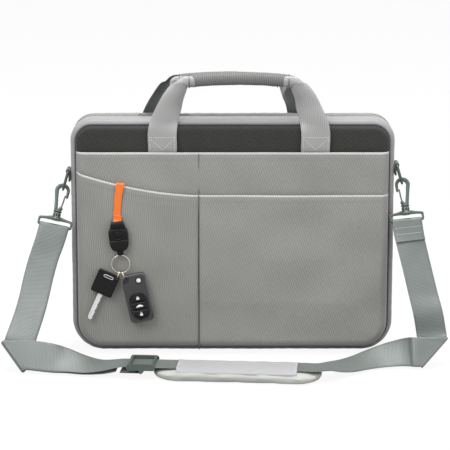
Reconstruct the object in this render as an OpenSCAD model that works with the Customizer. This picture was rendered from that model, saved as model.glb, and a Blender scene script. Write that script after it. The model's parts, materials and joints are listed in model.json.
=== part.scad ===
// Soft laptop briefcase with two carry handles, a detachable shoulder strap and a key leash.
// Millimetres. +X is right, -Y is the front, +Z is up, and the origin is on the floor at the
// middle of the case's base.

/* [Case] */
// Width across the gusset at its fullest
case_w = 406; // [320:1:470]
// Height of the case, without the handles
case_h = 298; // [240:1:360]
// Depth between the outer faces of the front and back panels
case_d = 70; // [58:1:90]
// How far the gusset bulges past the edge of each panel
gusset_bulge = 8; // [4:0.5:12]
// Radius of the two lower corners
low_corner_r = 40; // [30:1:60]
// Radius of the two upper corners
top_corner_r = 28; // [24:1:60]
// Thickness of the padded front and back panels
panel_t = 8; // [5:0.5:12]
// Thickness of the padded gusset
gusset_t = 5; // [3:0.5:8]
// Diameter of the piping round each panel
piping_d = 3.6; // [2.5:0.1:5]
// Height at which the zip ends and the opening half hinges
zip_end_z = 114; // [90:1:150]
// Distance of the zip line behind the middle of the case
zip_y = 10; // [6:0.5:12]

/* [Inside] */
// Thickness of the padded divider of the laptop sleeve
divider_t = 5; // [3:0.5:8]
// Distance of the divider's upper edge below the top of the case
divider_down = 40; // [30:1:80]
// Depth of the laptop space, from the divider to the back panel
laptop_space = 30; // [24:1:34]
// Thickness of the board in the base
stiffener_t = 2; // [1.5:0.5:4]

/* [Pockets] */
// Thickness of the cloth of a pocket
pocket_t = 1.5; // [1.2:0.1:2.5]
// Room inside each front pocket
pocket_gap = 5; // [4.5:0.5:8]
// Distance of the full-width pocket's lip below the top of the case
upper_lip_down = 41; // [36:1:68]
// The same for the outer end of the curved lip
left_lip_down = 65; // [60:1:90]
// The same for the lip of the right lower pocket
lower_lip_down = 94; // [84:1:120]
// Distance of the vertical seam from the middle
seam_x = -42; // [-80:1:0]

/* [Handles] */
// Distance of each handle strap from the middle
handle_x = 95; // [80:1:110]
// Width of a handle strap
handle_w = 36; // [30:1:40]
// Thickness of a handle strap
handle_t = 2.2; // [1.6:0.1:3]
// Distance of the handles' hinge lines below the top of the case
handle_down = 33; // [28:1:43]
// Height of the grip above the hinge line
grip_rise = 80.5; // [70:0.5:100]
// Length of a grip
grip_l = 128; // [110:1:135]
// Diameter of a grip
grip_d = 17.5; // [15:0.5:20]
// Rise of the middle of a grip over its ends
grip_arch = 3.5; // [2:0.5:5]
// Sideways place of the front handle
front_shift = 8; // [-10:1:10]
// Sideways place of the rear handle
rear_shift = -5; // [-10:1:10]
// Height of the rear grip above its hinge line
rear_rise = 76; // [68:0.5:90]
// How far each grip stands in from its hinge line, towards the middle of the case
front_reach = 7; // [4:0.5:12]
rear_reach = 32.5; // [26:0.5:34]

/* [Shoulder strap] */
// Width of the webbing
web_w = 37; // [34:0.5:40]
// Thickness of the webbing
web_t = 1.6; // [1.2:0.1:2]
// Length of the shoulder pad
pad_l = 210; // [180:1:230]
// Width of the shoulder pad
pad_w = 62; // [54:1:70]
// Thickness of the shoulder pad
pad_t = 11; // [9:0.5:12]
// Length of the smooth sleeve over the pad
sleeve_l = 146; // [120:1:160]
// Travel of the pad along the webbing
pad_travel = 8; // [4:1:8]
// Travel of the adjuster along the webbing
adjuster_travel = 8; // [4:1:8]

/* [Rings and hooks] */
// Distance of the left ring's straight bar below the top of the case
ring_down_left = 67; // [58:1:78]
// The same for the right ring
ring_down_right = 59; // [58:1:78]
// Inner width of a side ring
ring_inner = 25; // [22:0.5:28]
// Thickness of the wire of a side ring
ring_wire = 3.4; // [3:0.1:4]
// Thickness of the hook's bow
hook_wire = 5; // [4:0.1:5.5]
// Diameter of the swivel pin
swivel_d = 4; // [3:0.1:5]

/* [Key leash] */
// Width of the leash webbing
leash_w = 10; // [8:0.5:12]
// Middle of the leash where it crosses the pocket lip
leash_x = -140; // [-150:1:-120]
// Radius of the split ring
split_r = 11.4; // [10:0.1:13]

/* [Hidden] */
gusset_wall = max(gusset_t, gusset_bulge - 3);   // always reaches in behind the piping
upper_lip_z = case_h - upper_lip_down;
left_lip_z = case_h - left_lip_down;
lower_lip_z = case_h - lower_lip_down;
divider_top = case_h - divider_down;
handle_z = case_h - handle_down;
ring_z_left = case_h - ring_down_left;
ring_z_right = case_h - ring_down_right;
$fn = 48;

// clearances
gap = 0.3;        // between pieces that move past each other
fit = 0.05;       // radial, round a pin
seam_gap = 0.15;  // on each side of a sewn line that opens

// cloth colours
cloth = [0.60, 0.60, 0.58];
dark_cloth = [0.23, 0.23, 0.22];
trim = [0.36, 0.34, 0.38];
web_colour = [0.52, 0.57, 0.55];
hardware = [0.42, 0.48, 0.45];
metal = [0.75, 0.74, 0.70];

// levels through the depth
front_y = -case_d / 2;
back_y = case_d / 2;
front_inner_y = front_y + panel_t;
back_inner_y = back_y - panel_t;
upper_pocket_y = front_y - pocket_gap - pocket_t;
lower_pocket_y = upper_pocket_y - pocket_gap - pocket_t;
divider_y = back_inner_y - laptop_space - divider_t;
tooth_w = 2;
tooth_gap = 0.8;
zip_window = 5.5;
tape_w = 13;
tape_t = 1;
tooth_rise = 1.4;

function unit(v) = v / norm(v);
function middle(p) = (p[0] + p[1]) / 2;
function pair(c, w, half) = [c - half * unit(w), c + half * unit(w)];
function blend4(a, b, c, d, t) =
  (2 * b + (c - a) * t + (2 * a - 5 * b + 4 * c - d) * t * t + (3 * b - a - 3 * c + d) * t * t * t) / 2;
function smooth(ps, k) = let (n = len(ps)) concat(
  [for (i = [0 : n - 2]) for (j = [0 : k - 1])
    blend4(ps[max(i - 1, 0)], ps[i], ps[i + 1], ps[min(i + 2, n - 1)], j / k)],
  [ps[n - 1]]);
function reverse(ps) = [for (i = [len(ps) - 1 : -1 : 0]) ps[i]];
function ribbon_normal(ps, i) = let (n = len(ps))
  unit(cross(middle(ps[min(i + 1, n - 1)]) - middle(ps[max(i - 1, 0)]), ps[i][1] - ps[i][0]));

// flat band through a list of [edge, edge] stations
module ribbon(ps, t) {
  n = len(ps);
  points = [for (i = [0 : n - 1]) let (up = ribbon_normal(ps, i) * t / 2)
    each [ps[i][0] + up, ps[i][1] + up, ps[i][1] - up, ps[i][0] - up]];
  sides = [for (i = [0 : n - 2]) for (k = [0 : 3]) let (a = 4 * i + k, b = 4 * i + (k + 1) % 4)
    each [[a, a + 4, b], [b, a + 4, b + 4]]];
  last = 4 * n - 4;
  ends = [[0, 1, 2], [0, 2, 3], [last, last + 2, last + 1], [last, last + 3, last + 2]];
  polyhedron(points, concat(sides, ends));
}

// face outline of the case, drawn in from its fullest edge
module outline(inset) {
  w = case_w - 2 * inset;
  low = low_corner_r - inset;
  top = top_corner_r - inset;
  z0 = inset;
  z1 = case_h - inset;
  translate([-w / 2, z0 + low]) square([w, z1 - z0 - low - top]);
  translate([-w / 2 + low, z0]) square([w - 2 * low, low + 1]);
  translate([-w / 2 + top, z1 - top - 1]) square([w - 2 * top, top + 1]);
  for (side = [-1, 1]) {
    translate([side * (w / 2 - low), z0 + low]) circle(low);
    translate([side * (w / 2 - top), z1 - top]) circle(top);
  }
}

module slab(y0, y1) {
  translate([0, y1, 0]) rotate([90, 0, 0]) linear_extrude(y1 - y0) children();
}

module band(inset0, inset1, y0, y1) {
  slab(y0, y1) difference() { outline(inset0); outline(inset1); }
}

// part of a shape above or below a level
module above(z) {
  intersection() {
    children();
    translate([-case_w, -case_w, z]) cube([2 * case_w, 2 * case_w, 2 * case_h]);
  }
}
module below(z) {
  intersection() {
    children();
    translate([-case_w, -case_w, -case_h]) cube([2 * case_w, 2 * case_w, case_h + z]);
  }
}

module rod(a, b, r) {
  v = b - a;
  translate(a) rotate([0, acos(v[2] / norm(v)), atan2(v[1], v[0])]) cylinder(h = norm(v), r = r);
}
module elbowed_rod(points, r) {
  for (i = [0 : len(points) - 2]) rod(points[i], points[i + 1], r);
  for (p = points) translate(p) sphere(r);
}

// --- case -------------------------------------------------------------------------------

module front_panel() color(dark_cloth) slab(front_y, front_inner_y) outline(gusset_bulge);

module piping(y) {
  slab(y - piping_d / 2, y + piping_d / 2) difference() {
    outline(gusset_bulge - piping_d);
    outline(gusset_bulge);
  }
}
piping_y = front_inner_y - piping_d / 2 - gap;
module front_piping() color(trim) piping(piping_y);
module rear_piping_lower() color(trim) below(zip_end_z - seam_gap) piping(-piping_y);
module rear_piping_upper() color(trim) above(zip_end_z + seam_gap) piping(-piping_y);

module back_panel_lower() color(cloth) below(zip_end_z - seam_gap)
  slab(back_inner_y, back_y) outline(gusset_bulge);
module back_panel_upper() color(cloth) above(zip_end_z + seam_gap)
  slab(back_inner_y, back_y) outline(gusset_bulge);

module lower_gusset() color(cloth) below(zip_end_z - seam_gap)
  band(0, gusset_wall, front_inner_y, back_inner_y);
module front_gusset() color(cloth) above(zip_end_z - seam_gap)
  band(0, gusset_wall, front_inner_y, zip_y - zip_window);
module rear_gusset() color(cloth) above(zip_end_z + seam_gap)
  band(0, gusset_wall, zip_y + zip_window, back_inner_y);

base_z = gusset_wall;
module base_stiffener() color([0.15, 0.15, 0.16])
  translate([-(case_w / 2 - low_corner_r), front_inner_y + 1, base_z])
    cube([case_w - 2 * low_corner_r, case_d - 2 * panel_t - 2, stiffener_t]);

module divider() color(trim) slab(divider_y, divider_y + divider_t) intersection() {
  outline(gusset_wall + gap);
  translate([-case_w / 2, base_z + stiffener_t]) square([case_w, divider_top - base_z - stiffener_t]);
}

tab_w = 25;
module divider_tab() color([0.12, 0.12, 0.13])
  translate([-tab_w / 2, divider_y + divider_t, divider_top - 45]) cube([tab_w, 1.5, 52]);

// --- zip --------------------------------------------------------------------------------

tape_inset = gusset_wall;
tooth_inset = gusset_wall - tooth_rise;
module front_zip_tape() color(trim) above(zip_end_z)
  band(tape_inset, tape_inset + tape_t, zip_y - tape_w, zip_y - tooth_gap);
module rear_zip_tape() color(trim) above(zip_end_z + seam_gap)
  band(tape_inset, tape_inset + tape_t, zip_y + tooth_gap, zip_y + tape_w);
module front_zip_teeth() color(metal * 0.5) above(zip_end_z + 6)
  band(tooth_inset, tape_inset, zip_y - tooth_gap - tooth_w, zip_y - tooth_gap);
module rear_zip_teeth() color(metal * 0.5) above(zip_end_z + 6)
  band(tooth_inset, tape_inset, zip_y + tooth_gap, zip_y + tooth_gap + tooth_w);
module zip_stops() color(metal) for (side = [-1, 1])
  translate([side * (case_w / 2 - tape_inset + 1) - 1, zip_y - tooth_gap - tooth_w, zip_end_z + 1])
    cube([2, tooth_w, 4.5]);

slider_l = 9;
slider_w = 8;
plate_t = 1.4;
slider_gap = 0.7;
slider_meet_x = front_shift - handle_x;
slider_top_z = case_h - tooth_inset + slider_gap;
bridge_z = slider_top_z + plate_t;
module zip_slider(x) color(metal) {
  translate([x - slider_l / 2, zip_y - slider_w / 2, slider_top_z]) cube([slider_l, slider_w, plate_t]);
  translate([x - slider_l / 2, zip_y - slider_w / 2, case_h - tape_inset - tape_t - slider_gap - plate_t])
    cube([slider_l, slider_w, plate_t]);
  translate([x - 2, zip_y - tooth_gap + gap, case_h - tape_inset - tape_t - slider_gap - plate_t])
    cube([4, 2 * (tooth_gap - gap), bridge_z - case_h + tape_inset + tape_t + slider_gap + plate_t]);
  // ears that hold the pull's pin
  for (side = [-1, 1]) difference() {
    translate([x - 1.8, zip_y + side * 2.6 - 0.6, bridge_z - 0.2]) cube([3.6, 1.2, 3.4]);
    translate([x, zip_y + side * 4, bridge_z + 1.6]) rotate([90 * side, 0, 0])
      cylinder(h = 4, r = 0.7 + fit);
  }
}
slider_left_x = slider_meet_x - slider_l / 2 - gap;
slider_right_x = slider_meet_x + slider_l / 2 + gap;
module zip_slider_left() zip_slider(slider_left_x);
module zip_slider_right() zip_slider(slider_right_x);

pull_l = 24;
module zip_pull(x, way) color(metal) translate([x, zip_y, bridge_z + 1.6]) {
  rotate([90, 0, 0]) translate([0, 0, -3.1]) cylinder(h = 6.2, r = 0.7);
  translate([way > 0 ? 0 : -4, -1.6, -0.6]) cube([4, 3.2, 1.2]);
  translate([way > 0 ? 3.5 : -3.5 - pull_l, -3.2, -0.6]) difference() {
    cube([pull_l, 6.4, 1.2]);
    translate([way > 0 ? pull_l - 4 : 4, 3.2, -1]) cylinder(h = 4, r = 1.6);
  }
}
module zip_pull_left() zip_pull(slider_left_x, -1);
module zip_pull_right() zip_pull(slider_right_x, 1);

// --- pockets ----------------------------------------------------------------------------

rim = 3;
module cut_outline(x0, x1, z1) {
  intersection() {
    outline(gusset_bulge);
    translate([x0, 0]) square([x1 - x0, z1]);
  }
}

module upper_pocket() color(cloth) {
  slab(upper_pocket_y, upper_pocket_y + pocket_t) cut_outline(-case_w, case_w, upper_lip_z);
  slab(upper_pocket_y + pocket_t, front_y) difference() {
    cut_outline(-case_w, case_w, upper_lip_z);
    outline(gusset_bulge + rim);
  }
}

// the left lip falls in a long shallow curve from the side seam to the middle seam
lip_r = 520;
lip_x0 = -case_w / 2 + gusset_bulge;
lip_chord = norm([seam_x - lip_x0, left_lip_z - lower_lip_z]);
lip_turn = atan2(lower_lip_z - left_lip_z, seam_x - lip_x0);
lip_depth = sqrt(lip_r * lip_r - lip_chord * lip_chord / 4);
lip_centre = [(lip_x0 + seam_x) / 2, (left_lip_z + lower_lip_z) / 2]
  + lip_depth * [-sin(lip_turn), cos(lip_turn)];
module left_pocket_outline(inset) {
  difference() {
    intersection() {
      outline(gusset_bulge + inset);
      translate([-case_w, 0]) square([case_w + seam_x - seam_gap - inset, left_lip_z + inset]);
    }
    translate(lip_centre) circle(lip_r, $fn = 360);
  }
}
module lower_pocket_left() color(cloth) {
  slab(lower_pocket_y, lower_pocket_y + pocket_t) left_pocket_outline(0);
  slab(lower_pocket_y + pocket_t, upper_pocket_y) difference() {
    left_pocket_outline(0);
    left_pocket_outline(rim);
  }
}
module lower_pocket_right() color(cloth) {
  x0 = seam_x + seam_gap;
  slab(lower_pocket_y, lower_pocket_y + pocket_t) cut_outline(x0, case_w, lower_lip_z);
  slab(lower_pocket_y + pocket_t, upper_pocket_y) difference() {
    cut_outline(x0, case_w, lower_lip_z);
    intersection() {
      outline(gusset_bulge + rim);
      translate([x0 + rim, 0]) square([case_w, case_h]);
    }
  }
}

sleeve_x = 95;
sleeve_z0 = 130;
sleeve_z1 = 236;
sleeve_gap = 5;
module trolley_sleeve() color(cloth) {
  translate([-sleeve_x, back_y + sleeve_gap, sleeve_z0])
    cube([2 * sleeve_x, pocket_t, sleeve_z1 - sleeve_z0]);
  for (side = [-1, 1]) translate([side * sleeve_x - 4, back_y, sleeve_z0])
    cube([8, sleeve_gap + pocket_t, sleeve_z1 - sleeve_z0]);
}

// --- handles ----------------------------------------------------------------------------

patch_low = handle_z - 24;
patch_top = handle_z + 12;
hinge_out = handle_t * 1.5 + gap;  // hinge line, out from the panel
module patches(face_y, way, shift) color(cloth) for (side = [-1, 1])
  translate([shift + side * handle_x - handle_w / 2, way > 0 ? face_y : face_y - handle_t, patch_low])
    cube([handle_w, handle_t, patch_top - patch_low]);
module front_handle_patches() patches(front_y, -1, front_shift);
module rear_handle_patches() patches(back_y, 1, rear_shift);

// one strap of an upright handle, hinge line at the origin, from its sewn end to the grip
function strap_stations(side, rise, reach) = [
  pair([side * handle_x, 0, 0], [side, 0, 0], handle_w / 2),
  pair([side * handle_x, 0.01 * reach, rise * 0.24], [side, 0, 0], handle_w / 2),
  pair([side * (handle_x - 4), 0.1 * reach, rise * 0.43], [side, -0.2, 0.05], handle_w * 0.44),
  pair([side * (handle_x - 14), 0.4 * reach, rise * 0.68], [side, -0.6, 0.2], handle_w * 0.37),
  pair([side * (handle_x - 24), 0.76 * reach, rise * 0.88], [side * 0.7, -0.8, 0.5], handle_w * 0.30),
  pair([side * (grip_l / 2 + 3), 0.97 * reach, rise * 0.995], [side * 0.1, -1, 0.1], handle_w * 0.165),
  pair([side * (grip_l / 2 - 9), reach, rise + 0.9], [0, -1, 0], handle_w * 0.165)
];
module handle_strap(rise, reach) for (side = [-1, 1])
  ribbon(smooth(strap_stations(side, rise, reach), 4), handle_t);
grip_bore = 6.4;
core_r = grip_bore - gap;
arch_r = (grip_l * grip_l / 4 + grip_arch * grip_arch) / (2 * grip_arch);
arch_half = asin(grip_l / 2 / arch_r);
module arched_rod(rise, reach, r, hole, half) {
  translate([0, reach, rise + grip_arch - arch_r]) rotate([90, 0, 0]) rotate([0, 0, 90 - half])
    rotate_extrude(angle = 2 * half, $fn = 720) translate([arch_r, 0]) difference() {
      circle(r);
      if (hole > 0) circle(hole);
    }
}
module handle_grip(rise, reach) arched_rod(rise, reach, grip_d / 2, grip_bore, arch_half);
module handle_core(rise, reach) arched_rod(rise, reach, core_r, 0, arch_half * 0.72);

module front_place() translate([front_shift, front_y - hinge_out, handle_z]) children();
module rear_place() translate([rear_shift, back_y + hinge_out, handle_z]) mirror([0, 1, 0]) children();
module front_handle_strap() color(cloth) front_place() handle_strap(grip_rise, front_reach);
module front_handle_grip() color(cloth) front_place() handle_grip(grip_rise, front_reach);
module front_handle_core() color([0.9, 0.9, 0.88]) front_place() handle_core(grip_rise, front_reach);
module rear_handle_strap() color(cloth) rear_place() handle_strap(rear_rise, rear_reach);
module rear_handle_grip() color(cloth) rear_place() handle_grip(rear_rise, rear_reach);
module rear_handle_core() color([0.9, 0.9, 0.88]) rear_place() handle_core(rear_rise, rear_reach);

// --- side rings -------------------------------------------------------------------------

ring_y = -14.5;
tab_t = 1.2;
tab_play = 0.1;
tab_drop = 13;
ring_hang = 16;        // degrees that a ring leans outwards
ring_drop = 26;        // from the straight bar to the middle of the bow
ring_r = ring_inner / 2 + ring_wire / 2;
loop_r = ring_wire / 2 + tab_play + tab_t;
ring_bar_x = case_w / 2 + loop_r;
function ring_z(side) = side < 0 ? ring_z_left : ring_z_right;

module ring_tab(side) translate([side * ring_bar_x, ring_y, ring_z(side)]) {
  width = ring_inner - 1;
  rotate([90, 0, 0]) translate([0, 0, -width / 2]) linear_extrude(width) difference() {
    union() {
      circle(loop_r);
      translate([side > 0 ? -loop_r : loop_r - tab_t, -tab_drop]) square([tab_t, tab_drop]);
    }
    circle(ring_wire / 2 + tab_play);
  }
}
module ring_tabs() color(cloth) for (side = [-1, 1]) ring_tab(side);

module d_ring(side) color(hardware) translate([side * ring_bar_x, ring_y, ring_z(side)])
  rotate([0, -side * ring_hang, 0]) {
    wire = ring_wire / 2;
    leg = ring_drop - ring_r;
    elbowed_rod([[0, ring_r, -leg], [0, ring_r, 0], [0, -ring_r, 0], [0, -ring_r, -leg]], wire);
    translate([0, 0, -leg]) rotate([0, 90, 0]) rotate([0, 0, -90])
      rotate_extrude(angle = 180) translate([ring_r, 0]) circle(wire);
  }
module d_ring_left() d_ring(-1);
module d_ring_right() d_ring(1);

// --- snap hooks: x points at the case and z up the swivel, from the middle of the collar ---

hook_r = hook_wire / 2;
crown_r = 7.2;
crown_z = 27;
crown_x = 0.4;
ring_seat = 0.8;
seat_z = crown_z + crown_r - hook_r - ring_seat - ring_wire / 2;
nose_r = 1.6;
nose_z = 19.5;
swivel_r = swivel_d / 2;
slot_l = web_w + 1.5;
frame_t = 4;
frame_top = -8;
slot_top = frame_top - 3.5;
bar_r = 1.6;
bar_z = slot_top - 7.7;
leg_w = 2.2;
gate_x = 3.1;
gate_z = 4.4;
gate_pin_r = 0.8;
hook_lean = 23;        // degrees that both hooks are drawn forward by the strap
function tilt(side) = side < 0 ? 12 : 6;
function turned(side, p) = let (up = p[2] * cos(tilt(side)) - p[0] * sin(tilt(side))) [
  -side * (p[0] * cos(tilt(side)) + p[2] * sin(tilt(side))),
  p[1] * cos(hook_lean) + up * sin(hook_lean),
  up * cos(hook_lean) - p[1] * sin(hook_lean)];
function ring_low(side) = let (drop = ring_drop - ring_r + ring_r * cos(hook_lean)) [
  side * (ring_bar_x + drop * sin(ring_hang)), ring_y - ring_r * sin(hook_lean),
  ring_z(side) - drop * cos(ring_hang)];
function hook_at(side) = ring_low(side) - turned(side, [crown_x, 0, seat_z]);
module hook_place(side) translate(hook_at(side)) rotate([-hook_lean, 0, 0])
  mirror([side > 0 ? 1 : 0, 0, 0]) rotate([0, tilt(side), 0]) children();

module snap_hook(side) color(hardware) hook_place(side) {
  translate([0, 0, slot_top - gap - 1.5]) cylinder(h = 1.5, r = swivel_r + 1);
  translate([0, 0, slot_top - gap]) cylinder(h = 2 - slot_top, r = swivel_r);
  translate([0, 0, gap - 1]) cylinder(h = 3.2, r = 5.4);
  rod([-1.5, 0, 2], [crown_x - crown_r, 0, crown_z + 0.6], hook_r - 0.4);
  translate([crown_x, 0, crown_z]) rotate([90, 0, 0])
    rotate_extrude(angle = 180) translate([crown_r, 0]) circle(hook_r);
  translate([crown_x + crown_r, 0, nose_z]) {
    cylinder(h = crown_z - nose_z + 0.6, r = nose_r);
    translate([0, 0, -nose_r]) cylinder(h = nose_r, r1 = nose_r / 2, r2 = nose_r);
  }
  for (y = [-1, 1]) difference() {
    translate([gate_x - 1.6, y * 2.6 - 0.6, 2]) cube([3.2, 1.2, gate_z - 0.4]);
    translate([gate_x, y * 4, gate_z]) rotate([90 * y, 0, 0]) cylinder(h = 4, r = gate_pin_r + fit);
  }
}
module snap_hook_left() snap_hook(-1);
module snap_hook_right() snap_hook(1);

gate_r = 0.9;
gate_tip = [crown_x + crown_r - nose_r - gate_r - 0.2, 0, nose_z + 0.5];
module hook_gate(side) color(metal) hook_place(side) {
  translate([gate_x, 1.7, gate_z]) rotate([90, 0, 0]) cylinder(h = 3.4, r = 1.4);
  translate([gate_x, 3.1, gate_z]) rotate([90, 0, 0]) cylinder(h = 6.2, r = gate_pin_r);
  elbowed_rod([[gate_x, 0, gate_z], gate_tip], gate_r);
}
module hook_gate_left() hook_gate(-1);
module hook_gate_right() hook_gate(1);

module hook_frame(side) color(hardware) hook_place(side) {
  outer = slot_l / 2 + leg_w;
  difference() {
    union() {
      translate([0, 0, slot_top]) cylinder(h = -1 - slot_top, r = 5);
      translate([-outer, -frame_t / 2, slot_top]) cube([2 * outer, frame_t, frame_top - slot_top]);
    }
    translate([0, 0, slot_top - 1]) cylinder(h = 2 - slot_top, r = swivel_r + fit);
  }
  for (x = [-outer, outer - leg_w]) translate([x, -frame_t / 2, bar_z - bar_r])
    cube([leg_w, frame_t, slot_top - bar_z + bar_r]);
  translate([-outer + 0.5, 0, bar_z]) rotate([0, 90, 0]) cylinder(h = 2 * outer - 1, r = bar_r);
}
module hook_frame_left() hook_frame(-1);
module hook_frame_right() hook_frame(1);

// --- shoulder strap: route of the webbing -------------------------------------------------

web_half = web_w / 2;
web_z = 14.5;               // middle of the webbing through the adjuster and the pad
layer = 1.3;                // from the middle of the doubled webbing to either layer
turn_r = bar_r + gap + web_t / 2;
pad_at = [6, -150, 0];
pad_turn = -5;
function along_pad(s) = pad_at + [s * cos(pad_turn), s * sin(pad_turn), web_z];
pad_across = [-sin(pad_turn), cos(pad_turn), 0];
bar_at_left = hook_at(-1) + turned(-1, [0, 0, bar_z]);
bar_at_right = hook_at(1) + turned(1, [0, 0, bar_z]);
bar_way_left = turned(-1, [1, 0, 0]);
bar_way_right = turned(1, [1, 0, 0]);

// a flat diagonal fold: the band turns about the crease between foot and head, in a plane
// that leans back by the angle a
function lean_up(a) = [0, cos(a), sin(a)];
function lean_out(a) = [0, -sin(a), cos(a)];
function fold_turn(foot, head, a, run, r) = let (
    out = lean_out(a),
    beyond = unit(cross(head - foot, out)) * run)
  [for (i = [0 : 6]) let (t = i * 30, shift = r * cos(t) * out + abs(r) * sin(t) * beyond)
    [head + shift, foot + shift]];

side_x = case_w / 2;
// along the floor, from the adjuster or the pad out to the fold
function left_way(share) = -158 + share * (left_foot[0] + 158);
function right_way(share) = 97 + share * (right_foot[0] - 97);
left_lean = 62;
left_foot = [-side_x - 51, -133, 3.4];
left_slant = 27;
left_head = left_foot + [-left_slant, 0, 0] + web_w * lean_up(left_lean);
left_angle = atan2(web_w, left_slant);
left_in = cos(2 * left_angle) * [1, 0, 0] - sin(2 * left_angle) * lean_up(left_lean);
right_lean = 64;
right_foot = [side_x + 29, -117, 3.2];
right_slant = 33;
right_head = right_foot + [right_slant, 0, 0] + web_w * lean_up(right_lean);
right_angle = atan2(web_w, right_slant);
right_out = cos(2 * right_angle) * [1, 0, 0] + sin(2 * right_angle) * lean_up(right_lean);

function standing(c, a) = pair(c, [0, -cos(a), -sin(a)], web_half);
function shifted(p, v) = [p[0] + v, p[1] + v];

// middle of the doubled webbing, from the left hook down to the fold
left_drop = [
  pair(bar_at_left, bar_way_left, web_half),
  pair([-side_x - 25.5, -47, 146], [0.99, 0, -0.14], web_half),
  pair([-side_x - 32.6, -56, 126], [1, 0, -0.06], web_half),
  pair([-side_x - 38.4, -67, 105], [1, 0, -0.03], web_half),
  pair([-side_x - 43, -79.5, 84], [1, 0, 0], web_half),
  pair([-side_x - 48.4, -93, 64], [1, -0.05, -0.05], web_half),
  shifted([left_head - 10 * left_in, left_foot - (10 + left_slant) * left_in],
    -2 * layer * lean_out(left_lean)),
  shifted([left_head - 3 * left_in, left_foot - 20 * left_in], -2 * layer * lean_out(left_lean))
];
left_drop_layer = [turn_r, 2.0, 1.5, layer, layer, layer, layer, layer];
// and on from the fold along the floor
left_run = [
  shifted([left_head + [15, 0, 0], left_foot + [1, 0, 0]], 2 * layer * lean_out(left_lean)),
  shifted([left_head + [6 + left_slant, 0, 0], left_foot + [6, 0, 0]], 2 * layer * lean_out(left_lean)),
  standing([left_way(2 / 3), -130, 18.6], 55),
  standing([left_way(0.48), -129, 15.2], 37),
  standing([left_way(0.23), -132, 10.2], 19)
];
function layered(ps, sizes, way) = [for (i = [0 : len(ps) - 1])
  shifted(ps[i], way * sizes[i] * ribbon_normal(ps, i))];
even_layer = [for (i = [0 : 9]) layer];

return_drop = smooth(layered(left_drop, left_drop_layer, 1), 4);
return_run = smooth(concat(layered(left_run, even_layer, 1), [
  standing([-158, -135, 6.6], 5),
  pair(along_pad(-147) - [0, 0, web_z - 8.6], -pad_across, web_half)]), 4);
main_drop = smooth(layered(left_drop, left_drop_layer, -1), 4);
main_run = smooth(concat(layered(left_run, even_layer, -1), [
  standing([-159, -135, 10.6], 6),
  pair(along_pad(-141), -pad_across, web_half),
  pair(along_pad(-128), -pad_across, web_half)]), 4);
right_run = smooth([
  pair(along_pad(84), -pad_across, web_half),
  pair(along_pad(97), -pad_across, web_half),
  standing([right_way(0.155), -151, 14.2], 2),
  standing([right_way(0.26), -139, 11.2], 9),
  standing([right_way(0.378), -124, 9.5], 17),
  standing([right_way(0.51), -109, 10.4], 25),
  standing([right_way(0.66), -100, 13], 35),
  standing([right_way(0.8), -100, 16.6], 47),
  standing([right_way(0.89), -104, 19], 58),
  shifted([right_head - [8 + right_slant, 0, 0], right_foot - [8, 0, 0]], layer * lean_out(right_lean)),
  shifted([right_head - [17, 0, 0], right_foot - [1, 0, 0]], layer * lean_out(right_lean))
], 4);
right_drop = [
  shifted([right_head + 3 * right_out, right_foot + 22 * right_out], -layer * lean_out(right_lean)),
  shifted([right_head + 10 * right_out, right_foot + (10 + right_slant) * right_out],
    -layer * lean_out(right_lean)),
  pair([side_x + 38.4, -93, 66], [-1, -0.12, -0.1], web_half),
  pair([side_x + 33, -80, 88], [-1, -0.2, -0.08], web_half),
  pair([side_x + 26.8, -66, 115], [-1, -0.22, -0.08], web_half),
  pair([side_x + 20.6, -53, 141], [-1, -0.16, -0.09], web_half),
  pair([side_x + 17.4, -46, 156], [-1, -0.08, -0.1], web_half),
  pair(bar_at_right, bar_way_right, web_half)
];
right_drop_layer = [0, 0, 0, 0, 0, 0.4, layer, turn_r];
across = turned(1, [0, 1, 0]);
function over_bar(c, way, up, from) = [for (t = [45, 80, 115, 150])
  shifted(pair(c, way, web_half), turn_r * (cos(t) * from * across + sin(t) * up))];
hem = smooth([
  shifted(right_drop[7], -turn_r * across),
  shifted(right_drop[6], layer * ribbon_normal(right_drop, 6)),
  shifted(0.4 * right_drop[6] + 0.6 * right_drop[5], (layer + 0.2) * ribbon_normal(right_drop, 5))], 3);

webbing_route = concat(
  reverse(return_run),
  reverse(fold_turn(left_foot, left_head, left_lean, -1, -layer)),
  reverse(return_drop),
  over_bar(bar_at_left, bar_way_left, turned(-1, [0, 0, 1]), -1),
  main_drop,
  fold_turn(left_foot, left_head, left_lean, -1, -3 * layer),
  main_run,
  right_run,
  fold_turn(right_foot, right_head, right_lean, 1, layer),
  smooth(layered(right_drop, right_drop_layer, -1), 4),
  over_bar(bar_at_right, bar_way_right, turned(1, [0, 0, 1]), 1),
  hem);
module shoulder_webbing() color(web_colour) ribbon(webbing_route, web_t);

// --- adjuster and pad, in line with the webbing -------------------------------------------

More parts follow.
